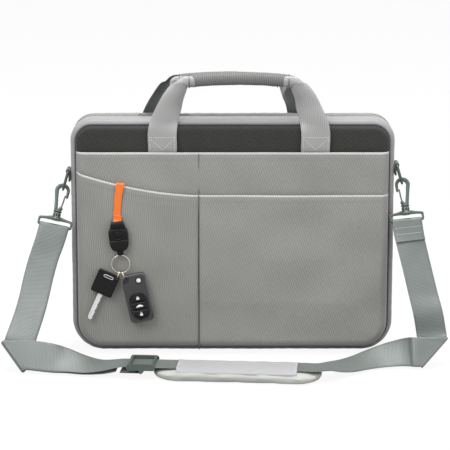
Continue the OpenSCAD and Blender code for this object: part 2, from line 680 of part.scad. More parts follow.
module along_strap(s) translate(along_pad(s)) rotate([0, 0, pad_turn]) children();
adjuster_s = -116;
adjuster_l = 34;
rail_t = 4;
rail_y = web_half + 0.6;
end_bar_r = 1.7;
end_bar_z = web_t / 2 + 0.4 + end_bar_r;
centre_bar_r = 1.6;
centre_bar_z = -4.9;
module strap_adjuster() color(hardware) along_strap(adjuster_s) {
  for (side = [-1, 1]) translate([0, side * (rail_y + rail_t / 2), 0]) rotate([90, 0, 0])
    translate([0, 0, -rail_t / 2]) linear_extrude(rail_t) difference() {
      union() {
        translate([-adjuster_l / 2 + 3, -3]) square([adjuster_l - 6, 7.4]);
        for (x = [-1, 1]) translate([x * (adjuster_l / 2 - 3), 0.7]) circle(3.7);
        translate([0, centre_bar_z]) circle(2.2);
        translate([-2.2, centre_bar_z]) square([4.4, 3]);
      }
    }
  for (x = [-1, 1]) translate([x * (adjuster_l / 2 - 3), rail_y + 0.5, end_bar_z]) rotate([90, 0, 0])
    cylinder(h = 2 * rail_y + 1, r = end_bar_r);
  translate([0, rail_y + 0.5, centre_bar_z]) rotate([90, 0, 0])
    cylinder(h = 2 * rail_y + 1, r = centre_bar_r);
}

loop_tail = 26;
end_loop_r = centre_bar_r + 0.2;
module strap_end_loop() color(web_colour) along_strap(adjuster_s) translate([0, web_half, 0])
  rotate([90, 0, 0]) linear_extrude(web_w) {
    translate([0, centre_bar_z]) difference() {
      union() {
        circle(end_loop_r + web_t);
        translate([-loop_tail, -end_loop_r - web_t]) square([loop_tail, 2 * web_t + 0.2]);
      }
      circle(end_loop_r);
    }
  }

module pad_outline(inset) {
  r = 24 - inset;
  l = pad_l - 2 * inset;
  w = pad_w - 2 * inset;
  square([l - 2 * r, w], center = true);
  square([l, w - 2 * r], center = true);
  for (x = [-1, 1]) for (y = [-1, 1]) translate([x * (l / 2 - r), y * (w / 2 - r)]) circle(r);
}
module shoulder_pad() color([0.62, 0.62, 0.61]) along_strap(0) translate([0, 0, -web_z])
  linear_extrude(pad_t) pad_outline(0);
channel = web_t + 1.2;
sleeve_top = channel / 2 + 1;
module pad_sleeve() color([0.58, 0.57, 0.59]) along_strap(0) difference() {
  translate([-sleeve_l / 2, -pad_w / 2 + 3, pad_t - web_z])
    cube([sleeve_l, pad_w - 6, web_z - pad_t + sleeve_top]);
  translate([-sleeve_l / 2 - 1, -web_half - 0.7, -channel / 2]) cube([sleeve_l + 2, web_w + 1.4, channel]);
}

// --- key leash ----------------------------------------------------------------------------

leash_t = 1.2;
leash_l = 46;
leash_turn = 4.6;
buckle_turn = -5.6;
leash_lip_z = lip_centre[1] - sqrt(lip_r * lip_r - pow(leash_x - lip_centre[0], 2));
lip_play = 0.6;
remote_t = 11;
hang_y = lower_pocket_y - gap - remote_t / 2;   // plane in which the keys hang
lip_y = lower_pocket_y + pocket_t / 2;
module leash_place() translate([leash_x, lip_y, leash_lip_z]) children();
eye_wire = 1.2;
eye_y = -pocket_t / 2 - gap - leash_t - gap - eye_wire;
// strap over the lip: front run, turn and the tail that is sewn inside the pocket
module leash_webbing() color([1, 0.45, 0.1]) leash_place() {
  inner = pocket_t / 2 + lip_play;
  outer = inner + leash_t;
  rise = 1.2;
  rotate([0, leash_turn, 0]) {
    translate([-leash_w / 2, 0, rise]) rotate([90, 0, 90]) linear_extrude(leash_w) {
      difference() {
        intersection() { circle(outer); translate([-outer, 0]) square(2 * outer); }
        circle(inner);
      }
      translate([-outer, -leash_l - rise]) square([leash_t, leash_l + rise]);
      translate([inner, -32]) square([leash_t, 32]);
      // eye round the bar of the buckle
      translate([eye_y, -leash_l - rise]) difference() {
        circle(eye_wire + gap + leash_t);
        circle(eye_wire + gap);
      }
    }
  }
  // bar tack into the pocket behind
  translate([-leash_w / 2 - 2.2, inner + leash_t / 2, -31])
    cube([leash_w, pocket_gap + pocket_t / 2 - inner - leash_t / 2, 5]);
}

buckle_t = 8;
buckle_y = hang_y - lip_y;
prong_w = 3;
prong_t = 2.6;
module buckle_place() leash_place()
  translate([-sin(leash_turn) * leash_l, buckle_y, -leash_l]) rotate([0, buckle_turn, 0]) children();
eye_turn = leash_turn - buckle_turn;
module buckle_plate(t) rotate([90, 0, 0]) translate([0, 0, -t / 2]) linear_extrude(t) children();
module leash_buckle_socket() color([0.1, 0.1, 0.1]) buckle_place() {
  difference() {
    buckle_plate(buckle_t) {
      translate([0, -12.2]) circle(12.2);
      translate([-8.5, -8]) square([17, 10]);
    }
    // room for the webbing's eye, thumb dish and the throat for the prongs
    rotate([0, eye_turn, 0]) translate([-leash_w / 2 - 0.6, -buckle_t, -3.2])
      cube([leash_w + 1.2, 2 * buckle_t, 8]);
    translate([0, -buckle_t / 2 + 0.8, -13.5]) rotate([90, 0, 0]) cylinder(h = 3, r = 7.4);
    translate([-7.5, -prong_t / 2 - gap, -30]) cube([15, prong_t + 2 * gap, 21]);
    translate([-20, -10, -40]) cube([40, 20, 19]);
  }
  rotate([0, eye_turn, 0]) translate([-7, eye_y - buckle_y, 0]) rotate([0, 90, 0])
    cylinder(h = 14, r = eye_wire);
}
plug_top = -21 - gap;
plug_l = 17;
module leash_buckle_plug() color([0.1, 0.1, 0.1]) buckle_place() {
  buckle_plate(buckle_t)
    polygon([[-10, plug_top], [10, plug_top], [5, plug_top - plug_l], [-5, plug_top - plug_l]]);
  for (x = [-1, 1]) translate([x * 5.4 - prong_w / 2, -prong_t / 2, plug_top - 0.5])
    cube([prong_w, prong_t, 12]);
  translate([0, 0, plug_top - plug_l - 2]) rotate([0, 90, 0])
    rotate_extrude() translate([2.7, 0]) circle(0.8);
}
eye_local = [0, 0, plug_top - plug_l - 2];
ring_wire_r = 1.1;
ring_top_local = eye_local - [0, 0, 2.7 - 0.8 - ring_wire_r - 0.1];
function about_y(p, a) = [p[0] * cos(a) + p[2] * sin(a), p[1], p[2] * cos(a) - p[0] * sin(a)];
buckle_origin = [leash_x - sin(leash_turn) * leash_l, hang_y, leash_lip_z - leash_l];
ring_top = buckle_origin + about_y(ring_top_local, buckle_turn);
split_at = ring_top - [0, 0, split_r];
module split_ring() color(metal) translate(split_at) rotate([90, 0, 0])
  rotate_extrude() translate([split_r, 0]) circle(ring_wire_r);

// small link: round the split ring above and through the hole of what hangs from it
link_r = 4.8;
link_wire = 0.7;
link_seat = link_r - link_wire - ring_wire_r - 0.2;
hole_r = 2.1;
hang_play = hole_r - link_wire - gap;   // from the link's low point to the middle of the hole
function on_ring(a) = split_at + split_r * [sin(a), 0, -cos(a)];
key_a = -28;
remote_a = 22;
key_at = on_ring(key_a) - [0, 0, link_seat + link_r + hang_play];
remote_at = on_ring(remote_a) - [0, 0, link_seat + link_r + hang_play];
module link() translate([0, 0, hang_play + link_r]) rotate([0, 90, 0])
  rotate_extrude() translate([link_r, 0]) circle(link_wire);

key_turn = 24;
bow_w = 28;
bow_h = 29;
bow_t = 7;
key_edge = 3.4;
waist_t = 2.6;
module key_place() translate(key_at) rotate([0, key_turn, 0]) children();
module rounded(w, h, r) {
  translate([r, 0]) square([w - 2 * r, h]);
  translate([0, r]) square([w, h - 2 * r]);
  for (x = [r, w - r]) for (y = [r, h - r]) translate([x, y]) circle(r);
}
module hung_plate(w, h, r, t, edge) {
  difference() {
    buckle_plate(t) translate([edge[0] - w, edge[1] - h]) rounded(w, h, r);
    rotate([90, 0, 0]) translate([0, 0, -t]) cylinder(h = 2 * t, r = hole_r);
    for (y = [-1, 1]) translate([0, y * (t / 2 + waist_t / 2), 0]) rotate([90, 0, 0])
      translate([0, 0, -t / 2]) cylinder(h = t, r = link_r + 1.4);
  }
}
blade_w = 5;
blade_t = 2;
blade_l = 36;
module key_bow() color([0.08, 0.08, 0.08]) key_place() difference() {
  hung_plate(bow_w, bow_h, 2.5, bow_t, [key_edge, key_edge]);
  translate([key_edge - bow_w / 2 - blade_w / 2, -blade_t / 2, key_edge - bow_h - 1])
    cube([blade_w, blade_t, 9]);
}
module key_blade() color(metal)
  key_place() translate([key_edge - bow_w / 2 - blade_w / 2, 0, key_edge - bow_h + 8]) difference() {
    translate([0, -blade_t / 2, -blade_l - 8]) cube([blade_w, blade_t, blade_l + 8]);
    for (i = [0 : 5]) translate([blade_w, 0, -16 - 4 * i]) rotate([0, 45, 0])
      cube([1.8, 3, 1.8], center = true);
  }
module key_link() color(metal) key_place() link();

remote_turn = -12.5;
remote_w = 30;
remote_h = 61;
remote_edge = 3.6;
button_w = 19;
button_h = 33;
button_z = -37;
button_t = 2;
module remote_place() translate(remote_at) rotate([0, remote_turn, 0]) children();
module button_oval(inset) {
  w = button_w / 2 - inset;
  translate([remote_w / 2 - remote_edge, button_z]) {
    translate([-w, -(button_h - button_w) / 2]) square([2 * w, button_h - button_w]);
    for (z = [-1, 1]) translate([0, z * (button_h - button_w) / 2]) circle(w);
  }
}
module remote_case() color([0.25, 0.25, 0.26]) remote_place() difference() {
    mirror([1, 0, 0]) hung_plate(remote_w, remote_h, 6, remote_t, [remote_edge, remote_edge]);
    translate([0, -remote_t / 2 + button_t, 0]) rotate([90, 0, 0]) linear_extrude(button_t + 1)
      button_oval(0);
}
module remote_link() color(metal) remote_place() link();
button_travel = 0.6;
module remote_button(z0, z1) color([0.12, 0.12, 0.12]) remote_place()
  translate([0, -remote_t / 2 + button_t - button_travel - 0.1, 0]) rotate([90, 0, 0])
    linear_extrude(button_t) intersection() {
      button_oval(gap);
      translate([-remote_w, z0 + gap / 2]) square([2 * remote_w, z1 - z0 - gap]);
    }
button_split = 5;
module remote_lock_button() remote_button(button_z + button_split, 0);
module remote_boot_button() remote_button(button_z - button_split, button_z + button_split);
module remote_unlock_button() remote_button(-remote_h, button_z - button_split);

front_panel();
front_piping();
upper_pocket();
lower_pocket_left();
lower_pocket_right();
lower_gusset();
front_gusset();
base_stiffener();
divider();
divider_tab();
front_zip_tape();
front_zip_teeth();
zip_stops();
back_panel_lower();
rear_piping_lower();
front_handle_patches();
ring_tabs();
back_panel_upper();
rear_piping_upper();
rear_gusset();
rear_zip_tape();
rear_zip_teeth();
rear_handle_patches();
trolley_sleeve();
zip_slider_left();
zip_slider_right();
zip_pull_left();
zip_pull_right();
d_ring_left();
d_ring_right();
front_handle_strap();
front_handle_grip();
front_handle_core();
rear_handle_strap();
rear_handle_grip();
rear_handle_core();
shoulder_webbing();
hook_frame_left();
hook_frame_right();
snap_hook_left();
snap_hook_right();
hook_gate_left();
hook_gate_right();
strap_adjuster();
strap_end_loop();
shoulder_pad();
pad_sleeve();
leash_webbing();
leash_buckle_socket();
leash_buckle_plug();
split_ring();
key_link();
key_bow();
key_blade();
remote_link();
remote_case();
remote_lock_button();
remote_boot_button();
remote_unlock_button();
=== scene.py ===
"""Looks of the soft laptop briefcase: cloth, seams, webbing, hooks and the key leash.

Lengths are millimetres in the frame of the case until a mesh is made: +X right, -Y front, +Z up.
"""
import json
import math

import bmesh
import bpy
import numpy as np
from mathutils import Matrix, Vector

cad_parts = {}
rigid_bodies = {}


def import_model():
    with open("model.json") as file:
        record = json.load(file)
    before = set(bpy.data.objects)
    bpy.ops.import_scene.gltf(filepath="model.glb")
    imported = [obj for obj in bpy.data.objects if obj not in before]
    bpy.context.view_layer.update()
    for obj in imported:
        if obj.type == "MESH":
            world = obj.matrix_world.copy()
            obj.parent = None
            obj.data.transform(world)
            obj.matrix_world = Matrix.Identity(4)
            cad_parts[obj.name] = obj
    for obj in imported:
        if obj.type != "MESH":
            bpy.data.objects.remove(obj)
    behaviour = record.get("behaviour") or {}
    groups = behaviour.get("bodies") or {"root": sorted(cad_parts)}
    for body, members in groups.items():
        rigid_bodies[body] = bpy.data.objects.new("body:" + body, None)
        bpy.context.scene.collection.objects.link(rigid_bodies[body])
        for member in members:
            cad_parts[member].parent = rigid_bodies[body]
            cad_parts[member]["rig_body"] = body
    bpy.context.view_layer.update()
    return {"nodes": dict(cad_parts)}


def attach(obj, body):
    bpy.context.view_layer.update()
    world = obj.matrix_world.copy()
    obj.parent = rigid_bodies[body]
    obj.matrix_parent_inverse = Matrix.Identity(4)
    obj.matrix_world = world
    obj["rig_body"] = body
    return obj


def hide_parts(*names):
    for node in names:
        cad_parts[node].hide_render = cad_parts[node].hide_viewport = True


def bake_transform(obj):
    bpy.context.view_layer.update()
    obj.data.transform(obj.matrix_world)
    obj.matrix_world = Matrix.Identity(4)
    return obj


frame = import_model()

MM = 0.001
PI = math.pi

# Sizes shared with the part's source.
# The case: outside, lower and upper corners, and the panels' inset from the gusset's fullest line.
CASE_W, CASE_H = 406.0, 298.0
LOW_R, TOP_R = 40.0, 28.0
EDGE = 8.0
# Depths of the panels and pockets, the pockets' lips, the middle seam, and the height of the zip's ends.
FRONT_Y, BACK_Y = -35.0, 35.0
UPPER_Y, LOWER_Y = -41.5, -48.0
UPPER_LIP, LOWER_LIP = 257.0, 204.0
SEAM_X = -42.0
ZIP_END = 114.0
# Handles: place, width and thickness of the straps, their hinge line, and the grip.
HANDLE_X, HANDLE_W, HANDLE_T, HANDLE_Z, HINGE_OUT = 95.0, 36.0, 2.2, 265.0, 3.6
GRIP_L, GRIP_D, GRIP_ARCH = 128.0, 17.5, 3.5
# Webbing of the shoulder strap: width, thickness, and height of its middle over the floor on the pad.
WEB_W, WEB_T, WEB_Z = 37.0, 1.6, 14.5


# --- camera, floor and light ---------------------------------------------------------------

SENSOR, LENS = 36.0, 163.56
EYE, AIM = Vector((-0.0094, -2.542, 0.6963)), Vector((-0.0094, -0.042, 0.1661))


def make_camera():
    """A long lens a little above the case, looking down twelve degrees."""
    data = bpy.data.cameras.new("camera")
    data.sensor_width, data.lens = SENSOR, LENS
    data.clip_end = 60.0
    camera = bpy.data.objects.new("camera", data)
    bpy.context.scene.collection.objects.link(camera)
    camera.location = EYE
    camera.rotation_euler = (AIM - EYE).to_track_quat("-Z", "Y").to_euler()
    bpy.context.scene.camera = camera


make_camera()
bpy.context.scene.view_settings.view_transform = "Standard"


# --- materials -----------------------------------------------------------------------------

def linear(code):
    """A hex colour as it is written, turned into linear light."""
    values = [int(code[i:i + 2], 16) / 255.0 for i in (1, 3, 5)]
    return tuple(v / 12.92 if v <= 0.04045 else ((v + 0.055) / 1.055) ** 2.4 for v in values) + (1.0,)


def add(tree, kind, inputs, out=0, **settings):
    """One node with its settings. Each input, by name or number, is a plain value or the output of
    another node. Gives the node's own output by name or number."""
    node = tree.nodes.new("ShaderNode" + kind)
    for key, value in settings.items():
        setattr(node, key, value)
    for key, value in inputs.items():
        if isinstance(value, bpy.types.NodeSocket):
            tree.links.new(value, node.inputs[key])
        else:
            node.inputs[key].default_value = value
    return node.outputs[out] if node.outputs else None


def started(name, roughness, metallic=0.0, sheen=0.0, specular=0.5, coat=0.0):
    """A material with its shader, and its node tree."""
    material = bpy.data.materials.new(name)
    material.use_nodes = True
    shader = material.node_tree.nodes["Principled BSDF"]
    for socket, value in (("Roughness", roughness), ("Metallic", metallic), ("Sheen Weight", sheen),
                          ("Sheen Roughness", 0.4), ("Specular IOR Level", specular), ("Coat Weight", coat),
                          ("Coat Roughness", 0.25)):
        shader.inputs[socket].default_value = value
    return material, material.node_tree, shader


def raised(tree, shader, height, strength, depth):
    """Joins a height to the shader as a bump of a depth in millimetres."""
    normal = add(tree, "Bump", {"Height": height, "Strength": strength, "Distance": depth * MM}, "Normal")
    tree.links.new(normal, shader.inputs["Normal"])


def lines(tree, where, direction, pitch):
    """Even lines from 0 to 1: a half plus half the sine of the place along a direction, over the pitch."""
    turns = np.array(direction, float) / np.linalg.norm(direction) * 2 * PI / (pitch * MM)
    along = add(tree, "VectorMath", {0: where, 1: tuple(turns)}, "Value", operation="DOT_PRODUCT")
    sine = add(tree, "Math", {0: along}, operation="SINE")
    return add(tree, "Math", {0: sine, 1: 0.5, 2: 0.5}, operation="MULTIPLY_ADD")


SLOW_TONE, FINE_TONE = 0.48, 0.7         # how far slow and fine changes move a cloth between its tones


def woven(name, high, low, rib=(0.94, 0.0, 0.35), pitch=3.0, thread=0.9, depth=0.25,
          roughness=0.75, sheen=0.25, by_uv=False, spread=0.5, specular=0.35):
    """Cloth between two tones: ribs a pitch apart, slow and fine changes of tone, and a bump of seven
    parts ribs to three parts cross threads."""
    material, tree, shader = started(name, roughness, sheen=sheen, specular=specular)
    where = add(tree, "TexCoord", {}, "UV" if by_uv else "Object")
    ribs = lines(tree, where, rib, pitch)
    cross = (-rib[1], rib[0], 0.0) if by_uv else (-rib[2], 0.3, rib[0])
    threads = lines(tree, where, cross, thread)
    slow = add(tree, "TexNoise", {"Vector": where, "Scale": 14.0, "Detail": 3.0}, "Fac")
    fine = add(tree, "TexNoise", {"Vector": where, "Scale": 900.0, "Detail": 2.0}, "Fac")
    start = (1 - spread - SLOW_TONE - FINE_TONE) / 2
    level = add(tree, "Math", {0: ribs, 1: spread, 2: start}, operation="MULTIPLY_ADD")
    level = add(tree, "Math", {0: slow, 1: SLOW_TONE, 2: level}, operation="MULTIPLY_ADD")
    level = add(tree, "Math", {0: fine, 1: FINE_TONE, 2: level}, operation="MULTIPLY_ADD", use_clamp=True)
    colour = add(tree, "Mix", {0: level, 6: linear(low), 7: linear(high)}, 2, data_type="RGBA")
    tree.links.new(colour, shader.inputs["Base Color"])
    threads = add(tree, "Math", {0: threads, 1: 0.3}, operation="MULTIPLY")
    height = add(tree, "Math", {0: ribs, 1: 0.7, 2: threads}, operation="MULTIPLY_ADD")
    raised(tree, shader, height, 0.6, depth)
    return material


def webbed(name, high, low, edge, roughness=0.5, sheen=0.3, across=1.35, half=WEB_W / 2, specular=0.5):
    """Webbing on its own map, u across in metres and v along: cross ribs, warp lines 0.9 mm apart, a
    slow change of tone, and edges in a tone of their own from 0.86 of the half width out."""
    material, tree, shader = started(name, roughness, sheen=sheen, specular=specular)
    where = add(tree, "TexCoord", {}, "UV")
    ribs = lines(tree, where, (0.0, 1.0, 0.0), across)
    warp = lines(tree, where, (1.0, 0.0, 0.0), 0.9)
    slow = add(tree, "TexNoise", {"Vector": where, "Scale": 30.0, "Detail": 3.0}, "Fac")
    aside = add(tree, "Math", {0: add(tree, "SeparateXYZ", {0: where}, "X")}, operation="ABSOLUTE")
    rim = add(tree, "Math", {0: aside, 1: 0.86 * half * MM}, operation="GREATER_THAN")
    rim = add(tree, "Math", {0: rim, 1: 0.5}, operation="MULTIPLY")
    level = add(tree, "Math", {0: ribs, 1: 0.5, 2: -0.12}, operation="MULTIPLY_ADD")
    level = add(tree, "Math", {0: warp, 1: 0.25, 2: level}, operation="MULTIPLY_ADD")
    level = add(tree, "Math", {0: slow, 1: 0.5, 2: level}, operation="MULTIPLY_ADD", use_clamp=True)
    colour = add(tree, "Mix", {0: level, 6: linear(low), 7: linear(high)}, 2, data_type="RGBA")
    colour = add(tree, "Mix", {0: rim, 6: colour, 7: linear(edge)}, 2, data_type="RGBA")
    tree.links.new(colour, shader.inputs["Base Color"])
    height = add(tree, "Math", {0: warp, 1: 0.5, 2: ribs}, operation="MULTIPLY_ADD")
    raised(tree, shader, height, 0.4, 0.3)
    return material


def moulded(name, colour, worn, roughness=0.5, grain=700.0, coat=0.0, metallic=0.0, specular=0.5):
    """Moulded or cast finish: fine grain, slow change of gloss, and paler wear on convex edges."""
    material, tree, shader = started(name, roughness, metallic=metallic, coat=coat, specular=specular)
    where = add(tree, "TexCoord", {}, "Object")
    fine = add(tree, "TexNoise", {"Vector": where, "Scale": grain, "Detail": 3.0}, "Fac")
    slow = add(tree, "TexNoise", {"Vector": where, "Scale": 60.0, "Detail": 2.0}, "Fac")
    pointed = add(tree, "NewGeometry", {}, "Pointiness")
    wear = add(tree, "Math", {0: pointed, 1: 8.0, 2: -4.08}, operation="MULTIPLY_ADD", use_clamp=True)
    wear = add(tree, "Math", {0: wear, 1: 0.7}, operation="MINIMUM")
    wear = add(tree, "Math", {0: wear, 1: slow}, operation="MULTIPLY")
    patchy = add(tree, "Math", {0: slow, 1: 0.35}, operation="MULTIPLY")
    base = add(tree, "Mix", {0: patchy, 6: linear(colour), 7: linear(worn)}, 2, data_type="RGBA")
    base = add(tree, "Mix", {0: wear, 6: base, 7: linear(worn)}, 2, data_type="RGBA")
    tree.links.new(base, shader.inputs["Base Color"])
    gloss = add(tree, "Math", {0: slow, 1: 0.25, 2: roughness - 0.12}, operation="MULTIPLY_ADD")
    tree.links.new(gloss, shader.inputs["Roughness"])
    raised(tree, shader, fine, 0.15, 0.1)
    return material


# The threads of these cloths lie about 0.3 mm apart, too fine to show: their ribs are drawn 1 to 3 mm
# apart instead, and the cross threads 0.8 to 2 mm.

# polyester twill, woven: fine slanting ribs with a dull silky gleam
TWILL = woven("case_twill", "#a2a39f", "#7e7f7b", pitch=2.9, depth=0.3, spread=0.36, roughness=0.62,
              sheen=0.35, specular=0.5)
RIBS = woven("ribbed_twill", "#9f9f9b", "#7b7b77", rib=(1.0, 0.0, 0.07), pitch=2.3, depth=0.3,
             spread=0.42, roughness=0.62, sheen=0.35, specular=0.5)
CHARCOAL = woven("panel_twill", "#41413f", "#1f1f1e", rib=(0.86, 0.0, 0.5), pitch=3.2, depth=0.35)
# the same twill in a paler tone on a pocket's folded lip: a painted highlight along the edge that catches the
# light
LIP_HIGHLIGHT = woven("folded_lip", "#d2d2d0", "#a9a9a7", pitch=2.9, depth=0.2, spread=0.4, roughness=0.6)
# smooth polyester, woven: close ribs that run along the piece and shine where they bend
SATIN = woven("gusset_cloth", "#adadac", "#838382", rib=(1.0, 0.0, 0.0), pitch=1.7, thread=0.8,
              depth=0.15, roughness=0.5, sheen=0.4, by_uv=True, spread=0.35, specular=0.5)
HANDLE = woven("handle_cloth", "#b9bab9", "#878886", rib=(0.94, 0.35, 0.0), pitch=2.4, thread=0.8,
               depth=0.2, roughness=0.34, sheen=0.4, by_uv=True, spread=0.3, specular=0.9)
GRIP_CLOTH = woven("grip_cloth", "#868684", "#545452", rib=(1.0, 0.0, 0.12), pitch=2.6, thread=1.1,
                   depth=0.35, roughness=0.55, sheen=0.3, spread=0.55, specular=0.5)
# polypropylene webbing, woven: hard cross ribs, long warp lines and a tight darker edge
HANDLE_BACK = webbed("handle_back", "#6f7674", "#464e4c", "#565e5b", half=HANDLE_W / 2)
WEBBING = webbed("strap_webbing", "#79817d", "#454d49", "#525b56", across=1.7, roughness=0.3,
                 specular=1.0)
LEASH = webbed("leash_tape", "#ff9036", "#f2620c", "#ff7a1f", across=1.0, half=5.0, sheen=0.2)
# plain-weave tape and lining: flat and dull
TRIM = woven("piping_cloth", "#85828b", "#55525c", rib=(1.0, 0.0, 0.0), pitch=1.1, depth=0.15, by_uv=True)
LINING = woven("lining_cloth", "#55555a", "#303034", pitch=1.6, thread=1.6, depth=0.2)
TAPE = woven("zip_tape_cloth", "#5e5d62", "#37363b", rib=(1.0, 0.0, 0.0), pitch=1.2, depth=0.2)
# spacer mesh, knitted: a pale net with dark holes two millimetres apart
MESH_CLOTH = woven("pad_mesh", "#d2d4cf", "#9a9d96", rib=(0.8, 0.3, 0.55), pitch=2.0, thread=2.0,
                   depth=0.45, spread=0.7)
COVER = woven("pad_cover", "#b9b8ba", "#9b9a9d", rib=(1.0, 0.0, 0.0), pitch=1.2, depth=0.1, spread=0.25,
              roughness=0.55)
# twisted sewing thread: short grains that stand off the cloth
THREAD = woven("pale_thread", "#efefec", "#bdbdb9", pitch=0.7, depth=0.1)
DARK_THREAD = woven("dark_thread", "#4a4750", "#2c2a31", pitch=0.7, depth=0.1)
# acetal, moulded: smooth with a soft gloss, and coated steel wire beside it
GREEN = moulded("hook_plastic", "#46524c", "#6b7871", roughness=0.32, coat=0.25)
GATE = moulded("gate_coating", "#4b5751", "#77837c", roughness=0.34)
# ABS, moulded: black, satin on the shells and glossy on the keys
BLACK = moulded("black_plastic", "#060606", "#1c1c1b", roughness=0.38, specular=0.3)
SHELL = moulded("remote_shell", "#3a3a3b", "#585859", roughness=0.5, specular=0.35)
RIM = moulded("remote_rim", "#58585a", "#80807f", roughness=0.42)
KEYS = moulded("remote_keys", "#050505", "#1a1a1b", roughness=0.32, coat=0.2, specular=0.3)
PRINT = moulded("pale_print", "#e9e9e6", "#ffffff", roughness=0.5)
TEETH = moulded("zip_teeth", "#2b2b2d", "#5c5c5f", roughness=0.35)
# brushed nickel silver, plated spring wire and cast zinc: bright, with soft reflections
STEEL = moulded("key_steel", "#eeeeee", "#fafafa", roughness=0.4, grain=300.0, metallic=0.25)
GOLD = moulded("ring_metal", "#cbc5b2", "#ece8dc", roughness=0.2, grain=200.0, metallic=1.0)
ZIPPER = moulded("zip_metal", "#8c8b88", "#c2c1be", roughness=0.34, grain=300.0, metallic=1.0)
# polyethylene board and foam: dull and even
BOARD = moulded("base_board", "#1c1c1e", "#38383a", roughness=0.7)
FOAM = moulded("foam", "#d8d7d2", "#efeeea", roughness=0.9, grain=500.0)


# --- mesh making ---------------------------------------------------------------------------

def mesh_piece(name, points, faces, material, uv=None):
    """A smooth closed mesh from points in millimetres, its faces turned outwards."""
    mesh = bpy.data.meshes.new(name)
    mesh.from_pydata((np.asarray(points, float).reshape(-1, 3) * MM).tolist(), [], faces)
    work = bmesh.new()
    work.from_mesh(mesh)
    bmesh.ops.recalc_face_normals(work, faces=work.faces)
    work.to_mesh(mesh)
    work.free()
    if uv is not None:
        layer = mesh.uv_layers.new(name="map")
        index = np.zeros(len(mesh.loops), np.int32)
        mesh.loops.foreach_get("vertex_index", index)
        flat = (np.asarray(uv, float).reshape(-1, 2) * MM)[index]
        layer.data.foreach_set("uv", flat.astype(np.float32).ravel())
    mesh.polygons.foreach_set("use_smooth", [True] * len(mesh.polygons))
    mesh.materials.append(material)
    obj = bpy.data.objects.new(name, mesh)
    bpy.context.scene.collection.objects.link(obj)
    return obj


def quads(rows, columns, close_rows=False, close_columns=False):
    """Faces of a grid of points, row by row, joined round where it closes."""
    r = np.arange(rows if close_rows else rows - 1)
    c = np.arange(columns if close_columns else columns - 1)
    r, c = np.meshgrid(r, c, indexing="ij")
    r2, c2 = (r + 1) % rows, (c + 1) % columns
    corners = [r * columns + c, r * columns + c2, r2 * columns + c2, r2 * columns + c]
    return np.stack(corners, -1).reshape(-1, 4)


def loft(name, rings, material, uv=None, close_path=False):
    """A closed body through rings of points, one ring after another, its ends filled."""
    rings = np.asarray(rings, float)
    n, m = rings.shape[:2]
    faces = quads(n, m, close_path, True).tolist()
    if not close_path:
        faces += [list(range(m)), list(range((n - 1) * m, n * m))]
    return mesh_piece(name, rings, faces, material, uv)


def finished(obj, body, slot, *replaced):
    """Rides on a body and stands for CAD nodes. The slot is not used."""
    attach(obj, body)
    if replaced:
        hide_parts(*replaced)
    return obj


def outline(inset=0.0, n=640, start=0.0, stop=1.0):
    """The case's rounded rectangle by arc length from the middle of its base, anticlockwise from the
    front: straight runs and quarter circles, then in along the normal by the inset. Gives points
    (x, z), outward normals and lengths, from share start to share stop of the way round."""
    half, low, top = CASE_W / 2, LOW_R, TOP_R
    side = CASE_H - low - top
    lengths = np.cumsum([0, half - low, PI / 2 * low, side, PI / 2 * top, 2 * (half - top), PI / 2 * top,
                         side, PI / 2 * low, half - low])
    closed = start == 0.0 and stop == 1.0
    s = np.linspace(start, stop, n, endpoint=not closed) * lengths[-1]
    k = np.clip(np.searchsorted(lengths, s, side="right") - 1, 0, 8)
    t = s - lengths[k]
    x, z, angle = np.zeros(n), np.zeros(n), np.zeros(n)
    straight = {0: (0, 0, 1, 0, -90), 2: (half, low, 0, 1, 0), 4: (half - top, CASE_H, -1, 0, 90),
                6: (-half, CASE_H - top, 0, -1, 180), 8: (-half + low, 0, 1, 0, 270)}
    corner = {1: (half - low, low, low, -90), 3: (half - top, CASE_H - top, top, 0),
              5: (-half + top, CASE_H - top, top, 90), 7: (-half + low, low, low, 180)}
    for i, (x0, z0, dx, dz, a) in straight.items():
        on = k == i
        x[on], z[on], angle[on] = x0 + dx * t[on], z0 + dz * t[on], math.radians(a)
    for i, (cx, cz, r, a) in corner.items():
        on = k == i
        angle[on] = math.radians(a) + t[on] / r
        x[on], z[on] = cx + r * np.cos(angle[on]), cz + r * np.sin(angle[on])
    normal = np.stack([np.cos(angle), np.sin(angle)], -1)
    points = np.stack([x, z], -1) - normal * np.asarray(inset)[..., None]
    return points, normal, s


def share_at(height):
    """Share of the way round the outline at which its right side reaches a height."""
    half, low, top = CASE_W / 2, LOW_R, TOP_R
    total = 2 * (half - low) + 2 * (CASE_H - low - top) + PI * (low + top) + 2 * (half - top)
    return (half - low + PI / 2 * low + height - low) / total


def edge_distance(x, z, inset=EDGE):
    """How far inside the panel's rounded outline a point lies."""
    r = np.where(z < CASE_H / 2, LOW_R, TOP_R)
    qx = np.abs(x) - CASE_W / 2 + r
    qz = np.abs(z - CASE_H / 2) - CASE_H / 2 + r
    outside = np.hypot(np.maximum(qx, 0), np.maximum(qz, 0)) + np.minimum(np.maximum(qx, qz), 0) - r
    return -outside - inset


def roll(distance, width):
    """A quarter ellipse: 0 at an edge, rising to 1 at the width."""
    t = np.clip(distance / width, 0, 1)
    return np.sqrt(1 - (1 - t) ** 2)


def floor_of(x, inset=EDGE):
    """Height of the panel outline's lower edge at each x."""
    centre = CASE_W / 2 - LOW_R
    over = np.clip(np.abs(x) - centre, 0, LOW_R - inset)
    return LOW_R - np.sqrt((LOW_R - inset) ** 2 - over ** 2)


def ceiling_of(x, inset=EDGE):
    """Height of the panel outline's upper edge at each x."""
    centre = CASE_W / 2 - TOP_R
    over = np.clip(np.abs(x) - centre, 0, TOP_R - inset)
    return CASE_H - TOP_R + np.sqrt((TOP_R - inset) ** 2 - over ** 2)


